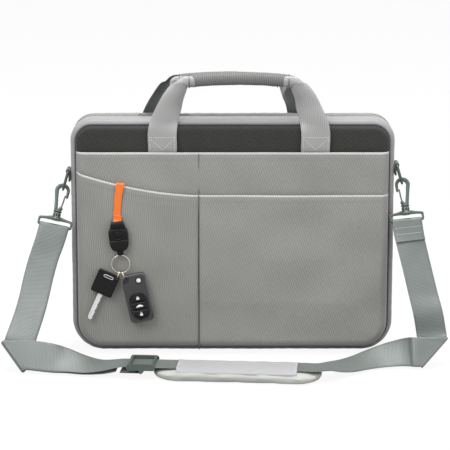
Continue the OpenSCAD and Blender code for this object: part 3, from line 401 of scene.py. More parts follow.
def ripple(a, b, seed):
    """A calm, repeatable unevenness: four crossing sines of different lengths."""
    rng = np.random.default_rng(seed)
    total = 0
    for _ in range(4):
        fa, fb, phase = rng.uniform(0.02, 0.09), rng.uniform(0.02, 0.09), rng.uniform(0, 2 * PI)
        total = total + np.sin(a * fa + b * fb * rng.choice([-1, 1]) + phase)
    return total / 4


def applied(obj):
    """Puts a piece's modifiers into its mesh."""
    graph = bpy.context.evaluated_depsgraph_get()
    mesh = bpy.data.meshes.new_from_object(obj.evaluated_get(graph))
    obj.modifiers.clear()
    obj.data = mesh


def corners_of(mesh):
    """The points of a mesh as one array."""
    points = np.zeros(3 * len(mesh.vertices))
    mesh.vertices.foreach_get("co", points)
    return points.reshape(-1, 3)


def puffed(obj, cap, voxel, floor=None):
    """Stuffs a closed cloth piece: it is remeshed evenly and blown up a little as cloth for twenty
    frames, and each point keeps at most the cap of its way, and stays above the floor."""
    scene = bpy.context.scene
    remesh = obj.modifiers.new("even_mesh", "REMESH")
    remesh.mode, remesh.voxel_size, remesh.use_smooth_shade = "VOXEL", voxel * MM, True
    applied(obj)
    start = corners_of(obj.data)
    cloth = obj.modifiers.new("stuffing", "CLOTH")
    cloth.settings.quality = 5
    cloth.settings.mass = 0.3
    cloth.settings.use_pressure = True
    cloth.settings.uniform_pressure_force = 4.0
    cloth.settings.effector_weights.gravity = 0.0
    cloth.collision_settings.use_collision = False
    cloth.point_cache.frame_start, cloth.point_cache.frame_end = 1, 20
    for number in range(1, 21):
        scene.frame_set(number)
    graph = bpy.context.evaluated_depsgraph_get()
    moved = corners_of(obj.evaluated_get(graph).data) - start
    obj.modifiers.remove(cloth)
    scene.frame_set(1)
    length = np.linalg.norm(moved, axis=1)[:, None]
    place = start + moved * np.minimum(1.0, cap * MM / np.maximum(length, 1e-9))
    if floor is not None:
        place[:, 2] = np.maximum(place[:, 2], floor * MM)
    obj.data.vertices.foreach_set("co", place.ravel())
    obj.data.polygons.foreach_set("use_smooth", [True] * len(obj.data.polygons))
    obj.data.update()
    finer = obj.modifiers.new("finer", "SUBSURF")
    finer.levels = finer.render_levels = 1


# --- case ----------------------------------------------------------------------------------

def columns(name, x0, x1, low, high, face, inner, material, across=170, up=90, lip=0.0):
    """A sheet or panel in the plane of the case, column by column: the face from the lower edge to the
    upper one, an edge that stands up by the lip, then the inner side down again. Columns crowd to both
    ends by half a cosine, so that round corners stay round."""
    t = np.linspace(0, 1, across)
    u = 0.5 * t + 0.25 * (1 - np.cos(PI * t))
    v = np.linspace(0, 1, up)
    v = 0.6 * v + 0.2 * (1 - np.cos(PI * v))
    x = (x0 + (x1 - x0) * u)[:, None] + 0 * v[None, :]
    z = low(x) + (high(x) - low(x)) * v[None, :]
    a, b = face(x, z), inner(x, z)
    front, rear = np.stack([x, a, z], -1), np.stack([x, b, z], -1)
    tip = (front[:, -1:] + rear[:, -1:]) / 2 + [0, 0, lip]
    ring = np.concatenate([front, tip, rear[:, ::-1]] if lip else [front, rear[:, ::-1]], 1)
    return loft(name, ring, material, np.stack([ring[..., 0], ring[..., 2]], -1))


def second_finish(obj, ring_size, first, material, last=None):
    """Gives the faces of a loft from one point of its rings to another a second material."""
    obj.data.materials.append(material)
    index = np.zeros(len(obj.data.polygons), np.int32)
    column = np.arange(len(index)) % ring_size
    index[(column >= first) & (column < (last or ring_size))] = 1
    obj.data.polygons.foreach_set("material_index", index)
    return obj


def panel(name, y_face, y_inner, crown, outer, lining, inset=EDGE):
    """A padded panel: its face rolls down to the seam over a quarter ellipse, and is crowned by a
    parabola of the distance from the middle."""
    limit = CASE_W / 2 - inset - 0.1

    def face(x, z):
        middle = np.clip(1 - (x / 200) ** 4, 0, 1) * np.clip(1 - ((z - 149) / 150) ** 4, 0, 1)
        shape = 0.35 + 0.65 * roll(edge_distance(x, z, inset), 6.0)
        y = y_inner + (y_face - y_inner) * shape + math.copysign(crown, y_face) * middle
        return y + 0.2 * ripple(x, z, 3)

    obj = columns(name, -limit, limit, lambda x: floor_of(x, inset), lambda x: ceiling_of(x, inset), face,
                  lambda x, z: y_inner + 0 * x, outer)
    return second_finish(obj, 180, 90, lining)


front_cloth = panel("front_panel_cloth", FRONT_Y + 0.2, -27.4, 0.2, CHARCOAL, LINING)
finished(front_cloth, "bag", "panel_twill", "front_panel")
back_cloth = panel("back_panel_cloth", BACK_Y - 0.9, 27.4, 0.6, TWILL, LINING)
puffed(back_cloth, 1.2, 4.5)
facing = np.zeros(3 * len(back_cloth.data.polygons))
back_cloth.data.polygons.foreach_get("normal", facing)
back_cloth.data.polygons.foreach_set("material_index", (facing[1::3] < -0.5).astype(np.int32))
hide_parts("back_panel_lower", "back_panel_upper")
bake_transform(back_cloth)


def lip_height(x):
    """Lip of the left lower pocket: the lower arc of a large circle through its two ends."""
    x0, z0, z1, r = -CASE_W / 2 + EDGE, 233.0, LOWER_LIP, 520.0
    chord = math.hypot(SEAM_X - x0, z0 - z1)
    turn = math.atan2(z1 - z0, SEAM_X - x0)
    depth = math.sqrt(r * r - chord * chord / 4)
    cx, cz = (x0 + SEAM_X) / 2 - depth * math.sin(turn), (z0 + z1) / 2 + depth * math.cos(turn)
    return cz - np.sqrt(r * r - (x - cx) ** 2)


HEM = 9.0                  # depth of the folded hem under a pocket's lip


def pocket(name, x0, x1, lip, y_face, y_back, seam_depth, seed, node, cloth=TWILL,
           fullness=0.0, slack=1.5):
    """Cloth of a pocket: its depth is a quarter ellipse of the distance from the panel's edge, dips to
    the sewn middle seam, swells a little between them, and leans back a millimetre at the lip. The
    folded hem is 0.4 mm thicker on its face and 0.5 mm at the back."""
    def face(x, z):
        d = edge_distance(x, z)
        shape = roll(d, 11.0)
        low, high = floor_of(x), lip(x)
        swell = np.clip((z - low) / 60, 0, 1) * np.clip((high - z) / 80, 0, 1) * np.clip(d / 60, 0, 1)
        y = y_back + (y_face - y_back) * shape - 1.0 * swell + slack * ripple(x, z, seed) * shape
        y = y + seam_depth * (1 - roll(np.abs(x - SEAM_X), 7.0))
        y = y + 1.0 * np.clip((z - high + 16) / 16, 0, 1) ** 2 - fullness * swell
        return y - 0.4 * np.clip((z - high + HEM) / 3.0, 0, 1)

    def inner(x, z):
        return face(x, z) + 1.0 + 0.9 * np.clip((z - lip(x) + HEM) / 3.0, 0, 1)

    obj = columns(name, x0, x1, floor_of, lip, face, inner, cloth, lip=0.8)
    # the last two face columns and the tip of each lip take the paler twill, a painted highlight along the
    # folded edge
    second_finish(obj, 181, 88, LIP_HIGHLIGHT, 91)
    finished(obj, "bag", "case_twill", node)


INNER_X = CASE_W / 2 - EDGE - 0.1
pocket("upper_pocket_cloth", -INNER_X, INNER_X, lambda x: UPPER_LIP + 0 * x, UPPER_Y + 0.3, -31.2, 0.9, 5,
       "upper_pocket")
pocket("lower_left_cloth", -INNER_X, SEAM_X - 0.5, lip_height, LOWER_Y + 0.4, -31.8, 4.2, 7,
       "lower_pocket_left", RIBS, slack=0.8)
pocket("lower_right_cloth", SEAM_X + 0.5, INNER_X, lambda x: LOWER_LIP + 0 * x, LOWER_Y + 0.4, -31.8, 4.2, 11,
       "lower_pocket_right", fullness=1.6)


def tube(name, path, radius, material, sides=10, closed=False):
    """A round cord along a path: circles square to the path, their start kept off its bends."""
    path = np.asarray(path, float)
    tangent = np.roll(path, -1, 0) - np.roll(path, 1, 0) if closed else np.gradient(path, axis=0)
    tangent /= np.linalg.norm(tangent, axis=1)[:, None]
    aim = np.array([0.0, 1.0, 0.0])
    if np.abs(tangent @ aim).max() > 0.95:
        steep = np.abs(tangent[:, 0]).max() >= 0.95
        aim = np.array([0.3, 0.5, 0.81] if steep else [1.0, 0.0, 0.0])
    first = np.cross(tangent, aim)
    first /= np.linalg.norm(first, axis=1)[:, None]
    second = np.cross(tangent, first)
    a = np.linspace(0, 2 * PI, sides, endpoint=False)
    radius = np.broadcast_to(np.asarray(radius, float), len(path))[:, None, None]
    spoke = np.cos(a)[None, :, None] * first[:, None] + np.sin(a)[None, :, None] * second[:, None]
    ring = path[:, None] + radius * spoke
    run = np.concatenate([[0], np.cumsum(np.linalg.norm(np.diff(path, axis=0), axis=1))])
    uv = np.stack([run[:, None] + 0 * a, 0 * run[:, None] + a], -1)
    return loft(name, ring, material, uv, closed)


def way_round(start=0.0, stop=1.0, n=640, inset=0.0):
    """Points, normals and lengths of the outline between two shares of the way round. Where it starts
    beyond its stop it is taken past the middle of the base, as two runs that meet there."""
    if start <= stop:
        return outline(inset, n, start, stop)
    first, second = outline(inset, n // 2, start, 0.99999), outline(inset, n // 2, 0.00001, stop)
    return (np.concatenate([first[0], second[0]]), np.concatenate([first[1], second[1]]),
            np.concatenate([first[2], second[2] + first[2][-1]]))


PIPING_Y, PIPING_IN, PIPING_R = 29.4, 6.6, 1.15


def piping(name, y, body, node, start=0.0, stop=1.0):
    """A covered cord in the seam between a panel and a gusset."""
    points = way_round(start, stop, inset=PIPING_IN)[0]
    path = np.stack([points[:, 0], np.full(len(points), y), points[:, 1]], -1)
    cord = tube(name, path, PIPING_R, TRIM, closed=start == 0.0 and stop == 1.0)
    finished(cord, body, "piping", node)


low_end, high_end = share_at(ZIP_END), 1 - share_at(ZIP_END)
piping("front_piping_cord", -PIPING_Y, "bag", "front_piping")
piping("rear_piping_upper_cord", PIPING_Y, "back_flap", "rear_piping_upper", low_end, high_end)
piping("rear_piping_lower_cord", PIPING_Y, "bag", "rear_piping_lower", high_end, low_end)


def band_round(name, start, stop, ys, insets, thick, outer, inner, seed=None, n=480):
    """A band carried round part of the outline: insets over the depth, and a second face one thickness
    further in. With a seed it puckers: a fine sine along the way that fades from both edges."""
    points, normal, length = way_round(start, stop, n)
    ys, insets = np.asarray(ys, float), np.asarray(insets, float)
    depth = insets[None, :] + 0 * length[:, None]
    if seed is not None:
        near = np.exp(-np.minimum(ys - ys[0], ys[-1] - ys) / 5.0)
        wave = np.sin(length / 2.6 + 1.3 * np.sin(length / 17))[:, None]
        sag = 0.4 * ripple(length[:, None], 3 * ys[None, :], seed)
        depth = depth + 0.3 * wave * near + sag * (1 - near)
    outside = points[:, None] - normal[:, None] * depth[..., None]
    inside = points[:, None] - normal[:, None] * (depth + thick)[:, ::-1, None]
    ring = np.concatenate([outside, inside], 1)
    yy = np.concatenate([ys, ys[::-1]])[None, :] + 0 * ring[..., 0]
    obj = loft(name, np.stack([ring[..., 0], yy, ring[..., 1]], -1), outer,
               np.stack([length[:, None] + 0 * yy, yy], -1))
    return second_finish(obj, 2 * len(ys), len(ys), inner)


def shoulders(y0, y1, drop0, drop1, width, count):
    """Insets over the depth: a quarter ellipse up from each edge, full between them."""
    ys = np.linspace(y0, y1, count)
    return ys, drop0 * (1 - roll(ys - y0, width)) + drop1 * (1 - roll(y1 - ys, width)) + 0.4


GUSSET_T = 3.4
whole, front, rear = (shoulders(-28.4, 28.4, 6.2, 6.2, 9, 46), shoulders(-28.4, 4.6, 6.2, 3.0, 9, 30),
                      shoulders(15.4, 28.4, 3.0, 6.2, 6, 18))
for word, start, stop, shape, body, seed in (("lower", high_end, low_end, whole, "bag", 21),
                                             ("front", low_end, high_end, front, "bag", 22),
                                             ("rear", low_end, high_end, rear, "back_flap", 23)):
    cloth = band_round(word + "_gusset_cloth", start, stop, *shape, GUSSET_T, SATIN, LINING, seed)
    finished(cloth, body, "gusset_cloth", word + "_gusset")


# --- stitching -----------------------------------------------------------------------------

def stitches(name, routes, body, material=THREAD, pitch=3.4, size=2.3, radius=0.28, lift=0.15,
             out=(0, -1, 0), crosswise=False):
    """Rows of stitches: along each route, at even arc lengths, a small six-sided grain with tapered
    ends that follows the route, or lies across it."""
    out = np.asarray(out, float)
    around = np.linspace(0, 2 * PI, 6, endpoint=False)
    along = np.array([-0.5, -0.32, 0.32, 0.5]) * size
    fat = np.array([0.35, 1.0, 1.0, 0.35]) * radius
    ends = [[0, 1, 2, 3], [0, 3, 4, 5], [18, 19, 20, 21], [18, 21, 22, 23]]
    block = np.concatenate([quads(4, 6, False, True), ends])
    points = []
    for route in routes:
        route = np.asarray(route, float)
        run = np.concatenate([[0], np.cumsum(np.linalg.norm(np.diff(route, axis=0), axis=1))])
        count = max(int(run[-1] / pitch), 1)
        s = (np.arange(count) + 0.5) * run[-1] / count
        at = [np.stack([np.interp(s + d, run, route[:, i]) for i in range(3)], -1) for d in (0, 0.6, -0.6)]
        tangent = (at[1] - at[2]) / np.linalg.norm(at[1] - at[2], axis=1)[:, None]
        face = np.broadcast_to(out, tangent.shape) if out.ndim == 1 else np.stack(
            [np.interp(s, run, out[:, i]) for i in range(3)], -1)
        side = np.cross(tangent, face)
        side /= np.linalg.norm(side, axis=1)[:, None]
        up = np.cross(side, tangent)
        if crosswise:
            tangent, side = side, tangent
        spoke = (np.cos(around)[:, None] * side[:, None, None] + np.sin(around)[:, None] * up[:, None, None])
        core = at[0] + lift * up
        points.append(core[:, None, None] + along[:, None, None] * tangent[:, None, None]
                      + fat[:, None, None] * spoke)
    points = np.concatenate(points).reshape(-1, 3)
    faces = (block[None] + 24 * np.arange(len(points) // 24)[:, None, None]).reshape(-1, 4)
    piece = mesh_piece(name, points, faces.tolist(), material)
    if body:
        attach(piece, body)
    return piece


# --- zip -----------------------------------------------------------------------------------

def along_zip(inset, y, n, clear):
    """A line along the zip's opening at an inset and a depth, and the way out from it."""
    route, normal, _ = outline(inset, n, low_end + clear, high_end - clear)
    return (np.stack([route[:, 0], np.full(len(route), y), route[:, 1]], -1),
            np.stack([normal[:, 0], 0 * normal[:, 0], normal[:, 1]], -1))


for word, body, tape_y, teeth_y, seam_y in (("front", "bag", (-2.0, 9.1), 8.6, 3.0),
                                            ("rear", "back_flap", (10.9, 22.0), 11.4, 17.2)):
    tape = band_round(word + "_zip_tape_cloth", low_end, high_end, np.linspace(*tape_y, 6),
                      np.full(6, 5.1), 0.8, TAPE, TAPE)
    finished(tape, body, "zip_tape", word + "_zip_tape")
    row, out = along_zip(4.2, teeth_y, 1200, 0.004)
    teeth = stitches(word + "_zip_teeth_row", [row], body, TEETH, 1.7, 2.6, 0.62, 0, out, True)
    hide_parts(word + "_zip_teeth")
    row, out = along_zip(0.85, seam_y, 900, 0.003)
    stitches(word + "_zip_seam", [row], body, DARK_THREAD, 3.0, 2.1, 0.22, 0.0, out)


# --- webbing and straps --------------------------------------------------------------------

def unit(v):
    """A direction, one long."""
    return np.asarray(v, float) / np.linalg.norm(v)


def pair(middle, way, half=WEB_W / 2):
    """The two edges of a band at one place: the half width to each side of its middle."""
    return np.array([middle - half * unit(way), middle + half * unit(way)])


def smooth(stations, steps):
    """Catmull-Rom through the stations of a band, both edges alike."""
    p = np.asarray(stations, float)
    p = np.concatenate([p[:1], p, p[-1:]])
    a, b, c, d = p[:-3, None], p[1:-2, None], p[2:-1, None], p[3:, None]
    t = (np.arange(steps) / steps)[None, :, None, None]
    pull = (c - a) * t + (2 * a - 5 * b + 4 * c - d) * t ** 2 + (3 * b - a - 3 * c + d) * t ** 3
    out = (2 * b + pull) / 2
    return np.concatenate([out.reshape(-1, *p.shape[1:]), p[-1:]])


def normals(stations):
    """Unit normals of a band: along it, crossed with across it."""
    middle = stations.mean(1)
    ahead = np.concatenate([middle[1:], middle[-1:]]) - np.concatenate([middle[:1], middle[:-1]])
    n = np.cross(ahead, stations[:, 1] - stations[:, 0])
    return n / np.linalg.norm(n, axis=1)[:, None]


def layered(stations, sizes, way):
    """A band moved along its own normals."""
    stations = np.asarray(stations, float)
    shift = way * np.broadcast_to(sizes, len(stations))[:, None] * normals(stations)
    return stations + shift[:, None]


def ribbon(name, stations, thick, front, back=None, curl=None, count=13):
    """A flat band with soft edges. Across it u runs from -1 to 1, and each face stands off the middle by
    half the thickness times (1 - u^10)^0.5. A curl winds the band round a circle whose arc is its own
    width: in radians it is 0 for a flat band. Returns the piece and its length."""
    stations = np.asarray(stations, float)
    middle, across = stations.mean(1), stations[:, 1] - stations[:, 0]
    half = np.linalg.norm(across, axis=1)[:, None, None] / 2
    across = across / np.linalg.norm(across, axis=1)[:, None]
    normal = normals(stations)
    run = np.concatenate([[0], np.cumsum(np.linalg.norm(np.diff(middle, axis=0), axis=1))])
    u = np.sin(np.linspace(-PI / 2, PI / 2, count))
    edge = np.sqrt(np.clip(1 - np.abs(u) ** 10, 0, 1))
    if curl is None:
        places = middle[:, None] + half * u[None, :, None] * across[:, None]
        facing = np.broadcast_to(normal[:, None], places.shape)
        wide = half[:, :, 0] * u[None, :]
    else:
        bend, width, share = curl
        bend = np.maximum(bend, 0.02)[:, None, None]
        radius, angle = width / bend, u[None, :, None] * bend / 2
        facing = np.sin(angle) * across[:, None] + np.cos(angle) * normal[:, None]
        places = middle[:, None] + radius * (facing - share[:, None, None] * normal[:, None])
        wide = 0 * run[:, None] + u[None, :] * width / 2
    off = thick / 2 * (0.25 + 0.75 * edge)[None, :, None] * facing
    ring = np.concatenate([places + off, (places - off)[:, ::-1]], 1)
    wide = np.concatenate([wide, wide[:, ::-1]], 1)
    uv = np.stack([wide, run[:, None] + 0 * wide], -1)
    obj = loft(name, ring, front, uv)
    if back is not None:
        second_finish(obj, 2 * count, count - 1, back)
    return obj, run[-1]


HOOK_LEAN = math.radians(23)
# D rings: depth on the case, how far they hang outwards, distance out, radius of the bow and its legs
RING_Y, RING_HANG, RING_X, RING_R, RING_LEG = -14.5, math.radians(16), 206.0, 14.2, 11.8
RING_Z = {-1: 231.0, 1: 239.0}
# hooks, from the middle of the collar: tilt in its own plane, crown of the bow, seat and nose
TILT = {-1: 12.0, 1: 6.0}
CROWN_X, CROWN_Z, CROWN_R, SEAT_Z, NOSE_Z = 0.4, 27.0, 7.2, 29.2, 19.5
# frames of the hooks, from the same place: the webbing's slot and the bar that it turns round
SLOT_TOP, BAR_Z, SLOT_L = -11.5, -19.2, WEB_W + 1.5


def turned(side, points):
    """Hook directions in the frame of the case: tilted in its own plane, mirrored, then leant forward."""
    p = np.asarray(points, float)
    a = math.radians(TILT[side])
    up = p[..., 2] * math.cos(a) - p[..., 0] * math.sin(a)
    return np.stack([-side * (p[..., 0] * math.cos(a) + p[..., 2] * math.sin(a)),
                     p[..., 1] * math.cos(HOOK_LEAN) + up * math.sin(HOOK_LEAN),
                     up * math.cos(HOOK_LEAN) - p[..., 1] * math.sin(HOOK_LEAN)], -1)


def hook_at(side):
    """Middle of a hook's collar, from the low point of the ring that it hangs on."""
    drop = RING_LEG + RING_R * math.cos(HOOK_LEAN)
    low = np.array([side * (RING_X + drop * math.sin(RING_HANG)), RING_Y - RING_R * math.sin(HOOK_LEAN),
                    RING_Z[side] - drop * math.cos(RING_HANG)])
    return low - turned(side, [CROWN_X, 0, SEAT_Z])


# the pad's middle on the floor and its turn, half the gap between two layers of webbing, and the
# radius of the webbing's middle round a bar
PAD_AT, PAD_TURN = np.array([6.0, -150.0, 0.0]), math.radians(-5)
PAD_ACROSS = np.array([math.sin(PAD_TURN), -math.cos(PAD_TURN), 0.0])
LAYER = 1.3
TURN_R = 1.6 + 0.25 + WEB_T / 2


def along_pad(s, z=WEB_Z):
    """A place over the pad's long middle line, a length from its middle and at a height."""
    return PAD_AT + [s * math.cos(PAD_TURN), s * math.sin(PAD_TURN), z]


def on_strap(points):
    """Points in the frame of the pad, put in its place on the floor."""
    p = np.asarray(points, float)
    c, s = math.cos(PAD_TURN), math.sin(PAD_TURN)
    x, y = p[..., 0] * c - p[..., 1] * s, p[..., 0] * s + p[..., 1] * c
    return PAD_AT + np.stack([x, y, p[..., 2] + WEB_Z], -1)


def lean_up(a):
    """The way up a band that leans back by an angle from the floor."""
    return np.array([0.0, math.cos(math.radians(a)), math.sin(math.radians(a))])


def lean_out(a):
    """The way out from that band's face."""
    return np.array([0.0, -math.sin(math.radians(a)), math.cos(math.radians(a))])


def fold_turn(foot, head, a, way, r, steps=20):
    """A flat diagonal fold: half a circle about the crease between foot and head."""
    out = lean_out(a)
    beyond = unit(np.cross(head - foot, out)) * way
    t = np.linspace(0, PI, steps)[:, None]
    shift = r * np.cos(t) * out + abs(r) * np.sin(t) * beyond
    return np.stack([head + shift, foot + shift], 1)


def standing(middle, a):
    """The two edges of a band that runs to the right and leans by an angle from the floor."""
    a = math.radians(a)
    return pair(middle, [0, -math.cos(a), -math.sin(a)])


def strap_route():
    """Both edges of the webbing: from the adjuster back along the lower layer, up and over the bar of the
    left hook, down again, through a flat fold, along the floor and the pad, and up to the right hook."""
    bars = {s: hook_at(s) + turned(s, [0, 0, BAR_Z]) for s in (-1, 1)}
    ways = {s: turned(s, [1, 0, 0]) for s in (-1, 1)}
    lean, slant, foot = 62, 27.0, np.array([-254.0, -133.0, 3.4])
    head = foot + [-slant, 0, 0] + WEB_W * lean_up(lean)
    angle = math.atan2(WEB_W, slant)
    into = math.cos(2 * angle) * np.array([1.0, 0, 0]) - math.sin(2 * angle) * lean_up(lean)
    out = lean_out(lean)
    drop = np.array([
        pair(bars[-1], ways[-1]),
        pair([-228.5, -47, 146], [0.99, 0, -0.14]),
        pair([-235.6, -56, 126], [1, 0, -0.06]),
        pair([-241.4, -67, 105], [1, 0, -0.03]),
        pair([-246, -79.5, 84], [1, 0, 0]),
        pair([-251.4, -93, 64], [1, -0.05, -0.05]),
        np.array([head - 10 * into, foot - (10 + slant) * into]) - 2 * LAYER * out,
        np.array([head - 3 * into, foot - 20 * into]) - 2 * LAYER * out])
    sizes = np.array([TURN_R, 2.0, 1.5] + [LAYER] * 5)
    run = np.array([
        np.array([head + [15, 0, 0], foot + [1, 0, 0]]) + 2 * LAYER * out,
        np.array([head + [6 + slant, 0, 0], foot + [6, 0, 0]]) + 2 * LAYER * out,
        standing([-222, -130, 18.6], 55), standing([-204, -129, 15.2], 37),
        standing([-180, -132, 10.2], 19)])
    tail = [standing([-158, -135, 6.6], 5), pair(along_pad(-147, 8.6), PAD_ACROSS)]
    body = [standing([-159, -135, 10.6], 6), pair(along_pad(-141), PAD_ACROSS),
            pair(along_pad(-128), PAD_ACROSS)]
    k = 14
    back_run = smooth(np.concatenate([layered(run, LAYER, 1), tail]), k)
    main_run = smooth(np.concatenate([layered(run, LAYER, -1), body]), k)
    back_drop, main_drop = smooth(layered(drop, sizes, 1), k), smooth(layered(drop, sizes, -1), k)

    lean_r, slant_r, foot_r = 64, 33.0, np.array([232.0, -117.0, 3.2])
    head_r = foot_r + [slant_r, 0, 0] + WEB_W * lean_up(lean_r)
    angle_r = math.atan2(WEB_W, slant_r)
    up_r = math.cos(2 * angle_r) * np.array([1.0, 0, 0]) + math.sin(2 * angle_r) * lean_up(lean_r)
    out_r = LAYER * lean_out(lean_r)
    right_run = smooth(np.array([
        pair(along_pad(84), PAD_ACROSS), pair(along_pad(97), PAD_ACROSS),
        standing([118, -151, 14.2], 2), standing([132, -139, 11.2], 9), standing([148, -124, 9.5], 17),
        standing([166, -109, 10.4], 25), standing([186, -100, 13], 35), standing([205, -100, 16.6], 47),
        standing([217, -104, 19], 58),
        np.array([head_r - [8 + slant_r, 0, 0], foot_r - [8, 0, 0]]) + out_r,
        np.array([head_r - [17, 0, 0], foot_r - [1, 0, 0]]) + out_r]), k)
    rise = np.array([
        np.array([head_r + 3 * up_r, foot_r + 22 * up_r]) - out_r,
        np.array([head_r + 10 * up_r, foot_r + (10 + slant_r) * up_r]) - out_r,
        pair([241.4, -93, 66], [-1, -0.12, -0.1]), pair([236, -80, 88], [-1, -0.2, -0.08]),
        pair([229.8, -66, 115], [-1, -0.22, -0.08]), pair([223.6, -53, 141], [-1, -0.16, -0.09]),
        pair([220.4, -46, 156], [-1, -0.08, -0.1]), pair(bars[1], ways[1])])
    across = turned(1, [0, 1, 0])
    normal = normals(rise)
    hem = smooth(np.array([
        rise[7] - TURN_R * across, rise[6] + LAYER * normal[6],
        0.4 * rise[6] + 0.6 * rise[5] + (LAYER + 0.2) * normal[5]]), 8)

    def over(side, way):
        """Nearly half a turn round a hook's bar."""
        t = np.radians(np.linspace(15, 165, 14))[:, None, None]
        return pair(bars[side], ways[side])[None] + TURN_R * (
            np.cos(t) * way * turned(1, [0, 1, 0]) + np.sin(t) * turned(side, [0, 0, 1]))

    turn_up = smooth(layered(rise, [0, 0, 0, 0, 0, 0.4, LAYER, TURN_R], -1), k)
    return np.concatenate([
        back_run[::-1], fold_turn(foot, head, lean, -1, -LAYER)[::-1], back_drop[::-1], over(-1, -1),
        main_drop, fold_turn(foot, head, lean, -1, -3 * LAYER), main_run, right_run,
        fold_turn(foot_r, head_r, lean_r, 1, LAYER), turn_up, over(1, 1), hem])


def rows_across(band, downs):
    """Rows of thread across a band's outer face, at lengths from its start."""
    run = np.concatenate([[0], np.cumsum(np.linalg.norm(np.diff(band.mean(1), axis=0), axis=1))])
    outward = normals(band) * np.where(normals(band)[:, 1:2] < 0, 1, -1)
    rows = []
    for down in downs:
        a, b, facing = (np.array([np.interp(down, run, line[:, i]) for i in range(3)])
                        for line in (band[:, 0], band[:, 1], outward))
        rows.append(a + (b - a) * np.linspace(0.06, 0.94, 20)[:, None] + 0.95 * facing)
    return rows


SEWN_END = 17              # last stations of the route, where the webbing is sewn back on itself
route = strap_route()
webbing, strap_length = ribbon("shoulder_webbing_tape", route, 1.5, WEBBING)
stitches("strap_hem_rows", rows_across(route[-SEWN_END:], (9.0, 17.0)), "shoulder_strap", THREAD,
         2.7, 1.8, 0.32, 0.0)
finished(webbing, "shoulder_strap", "webbing", "shoulder_webbing")


# --- handles -------------------------------------------------------------------------------

# a handle's strap from its hinge line to the grip: places by (x, share of reach, share of rise), ways
# across it, how far it winds itself up, and how much of that is taken from its middle
STRAP_IN = np.array([[95, 0, 0], [95, 0.01, 0.24], [91, 0.10, 0.43], [81, 0.40, 0.68], [71, 0.76, 0.88],
                     [67, 0.97, 0.995], [55, 1.0, 1.011]])
STRAP_WAY = np.array([[1, 0, 0], [1, 0, 0], [1, -0.2, 0.05], [1, -0.6, 0.2], [0.7, -0.8, 0.5],
                      [0.1, -1, 0.1], [0, -1, 0]])
STRAP_CURL = np.radians([0, 0, 0, 8, 55, 100, 165, 268, 285])
STRAP_SHARE = np.array([1, 1, 1, 1, 1, 0.97, 0.8, 0.15, 0.0])
RISE_REACH = {False: (80.5, 7.0), True: (76.0, 32.5)}       # of the front and the rear grip


def handle_place(points, rear):
    """From a handle's own frame, hinge line at the origin, to its side of the case."""
    shift = -5.0 if rear else 8.0
    way = -1 if rear else 1
    y0 = (BACK_Y + HINGE_OUT) if rear else (FRONT_Y - HINGE_OUT)
    p = np.asarray(points, float)
    return np.stack([p[..., 0] + shift, y0 + way * p[..., 1], p[..., 2] + HANDLE_Z], -1)


def handle_side(name, side, rear):
    """One strap of a handle: sewn flat to the panel, up past the hinge line, then winding itself round
    the core of the grip, its edges meeting beneath."""
    rise, reach = RISE_REACH[rear]
    low = np.array([[side * HANDLE_X, 2.35, -23.0], [side * HANDLE_X, 2.0, -9.0]])
    places = np.concatenate([low, STRAP_IN * [side, reach, rise]])
    ways = np.concatenate([[[1, 0, 0]] * 2, STRAP_WAY * [1, 1, side]])
    ways = np.where(np.arange(9)[:, None] < 2, ways, ways * [1, side, 1])
    stations = np.array([pair(p, w, HANDLE_W / 2) for p, w in zip(places, ways)])
    bend = smooth(np.stack([STRAP_CURL, STRAP_SHARE], -1)[:, None], 10)[:, 0]
    stations = handle_place(smooth(stations, 10), rear)
    t = np.linspace(0, 1, len(stations))
    free = np.clip((t - 0.3) / 0.15, 0, 1) * np.clip((0.82 - t) / 0.15, 0, 1)
    crease = np.stack([np.sin(17 * t + 1.7 * side + k * 2.3) + 0.35 * np.sin(31 * t + k)
                       for k in (0, 1)], -1)
    stations = stations + (1.1 * free[:, None] * crease)[..., None] * normals(stations)[:, None]
    if not rear:
        stations = stations[:, ::-1]
    curl = (np.clip(bend[:, 0], 0, 6), HANDLE_W, np.clip(bend[:, 1], 0, 1))
    piece, length = ribbon(name, stations, HANDLE_T, HANDLE, HANDLE_BACK, curl=curl, count=21)
    return piece, stations, length


def on_band(stations, heights, shares, off=1.2):
    """Points off a rising band's outer face: between its edges by a share from -1 to 1, at given heights."""
    level = stations.mean(1)[:, 2]
    last = int(np.argmax(level > 290.0)) + 1

    def at(values):
        return np.stack([np.interp(heights, level[:last], values[:last, i]) for i in range(3)], -1)

    share = np.asarray(shares)[:, None]
    between = at(stations[:, 0]) * (1 - share) + at(stations[:, 1]) * (1 + share)
    return between / 2 + off * at(normals(stations))


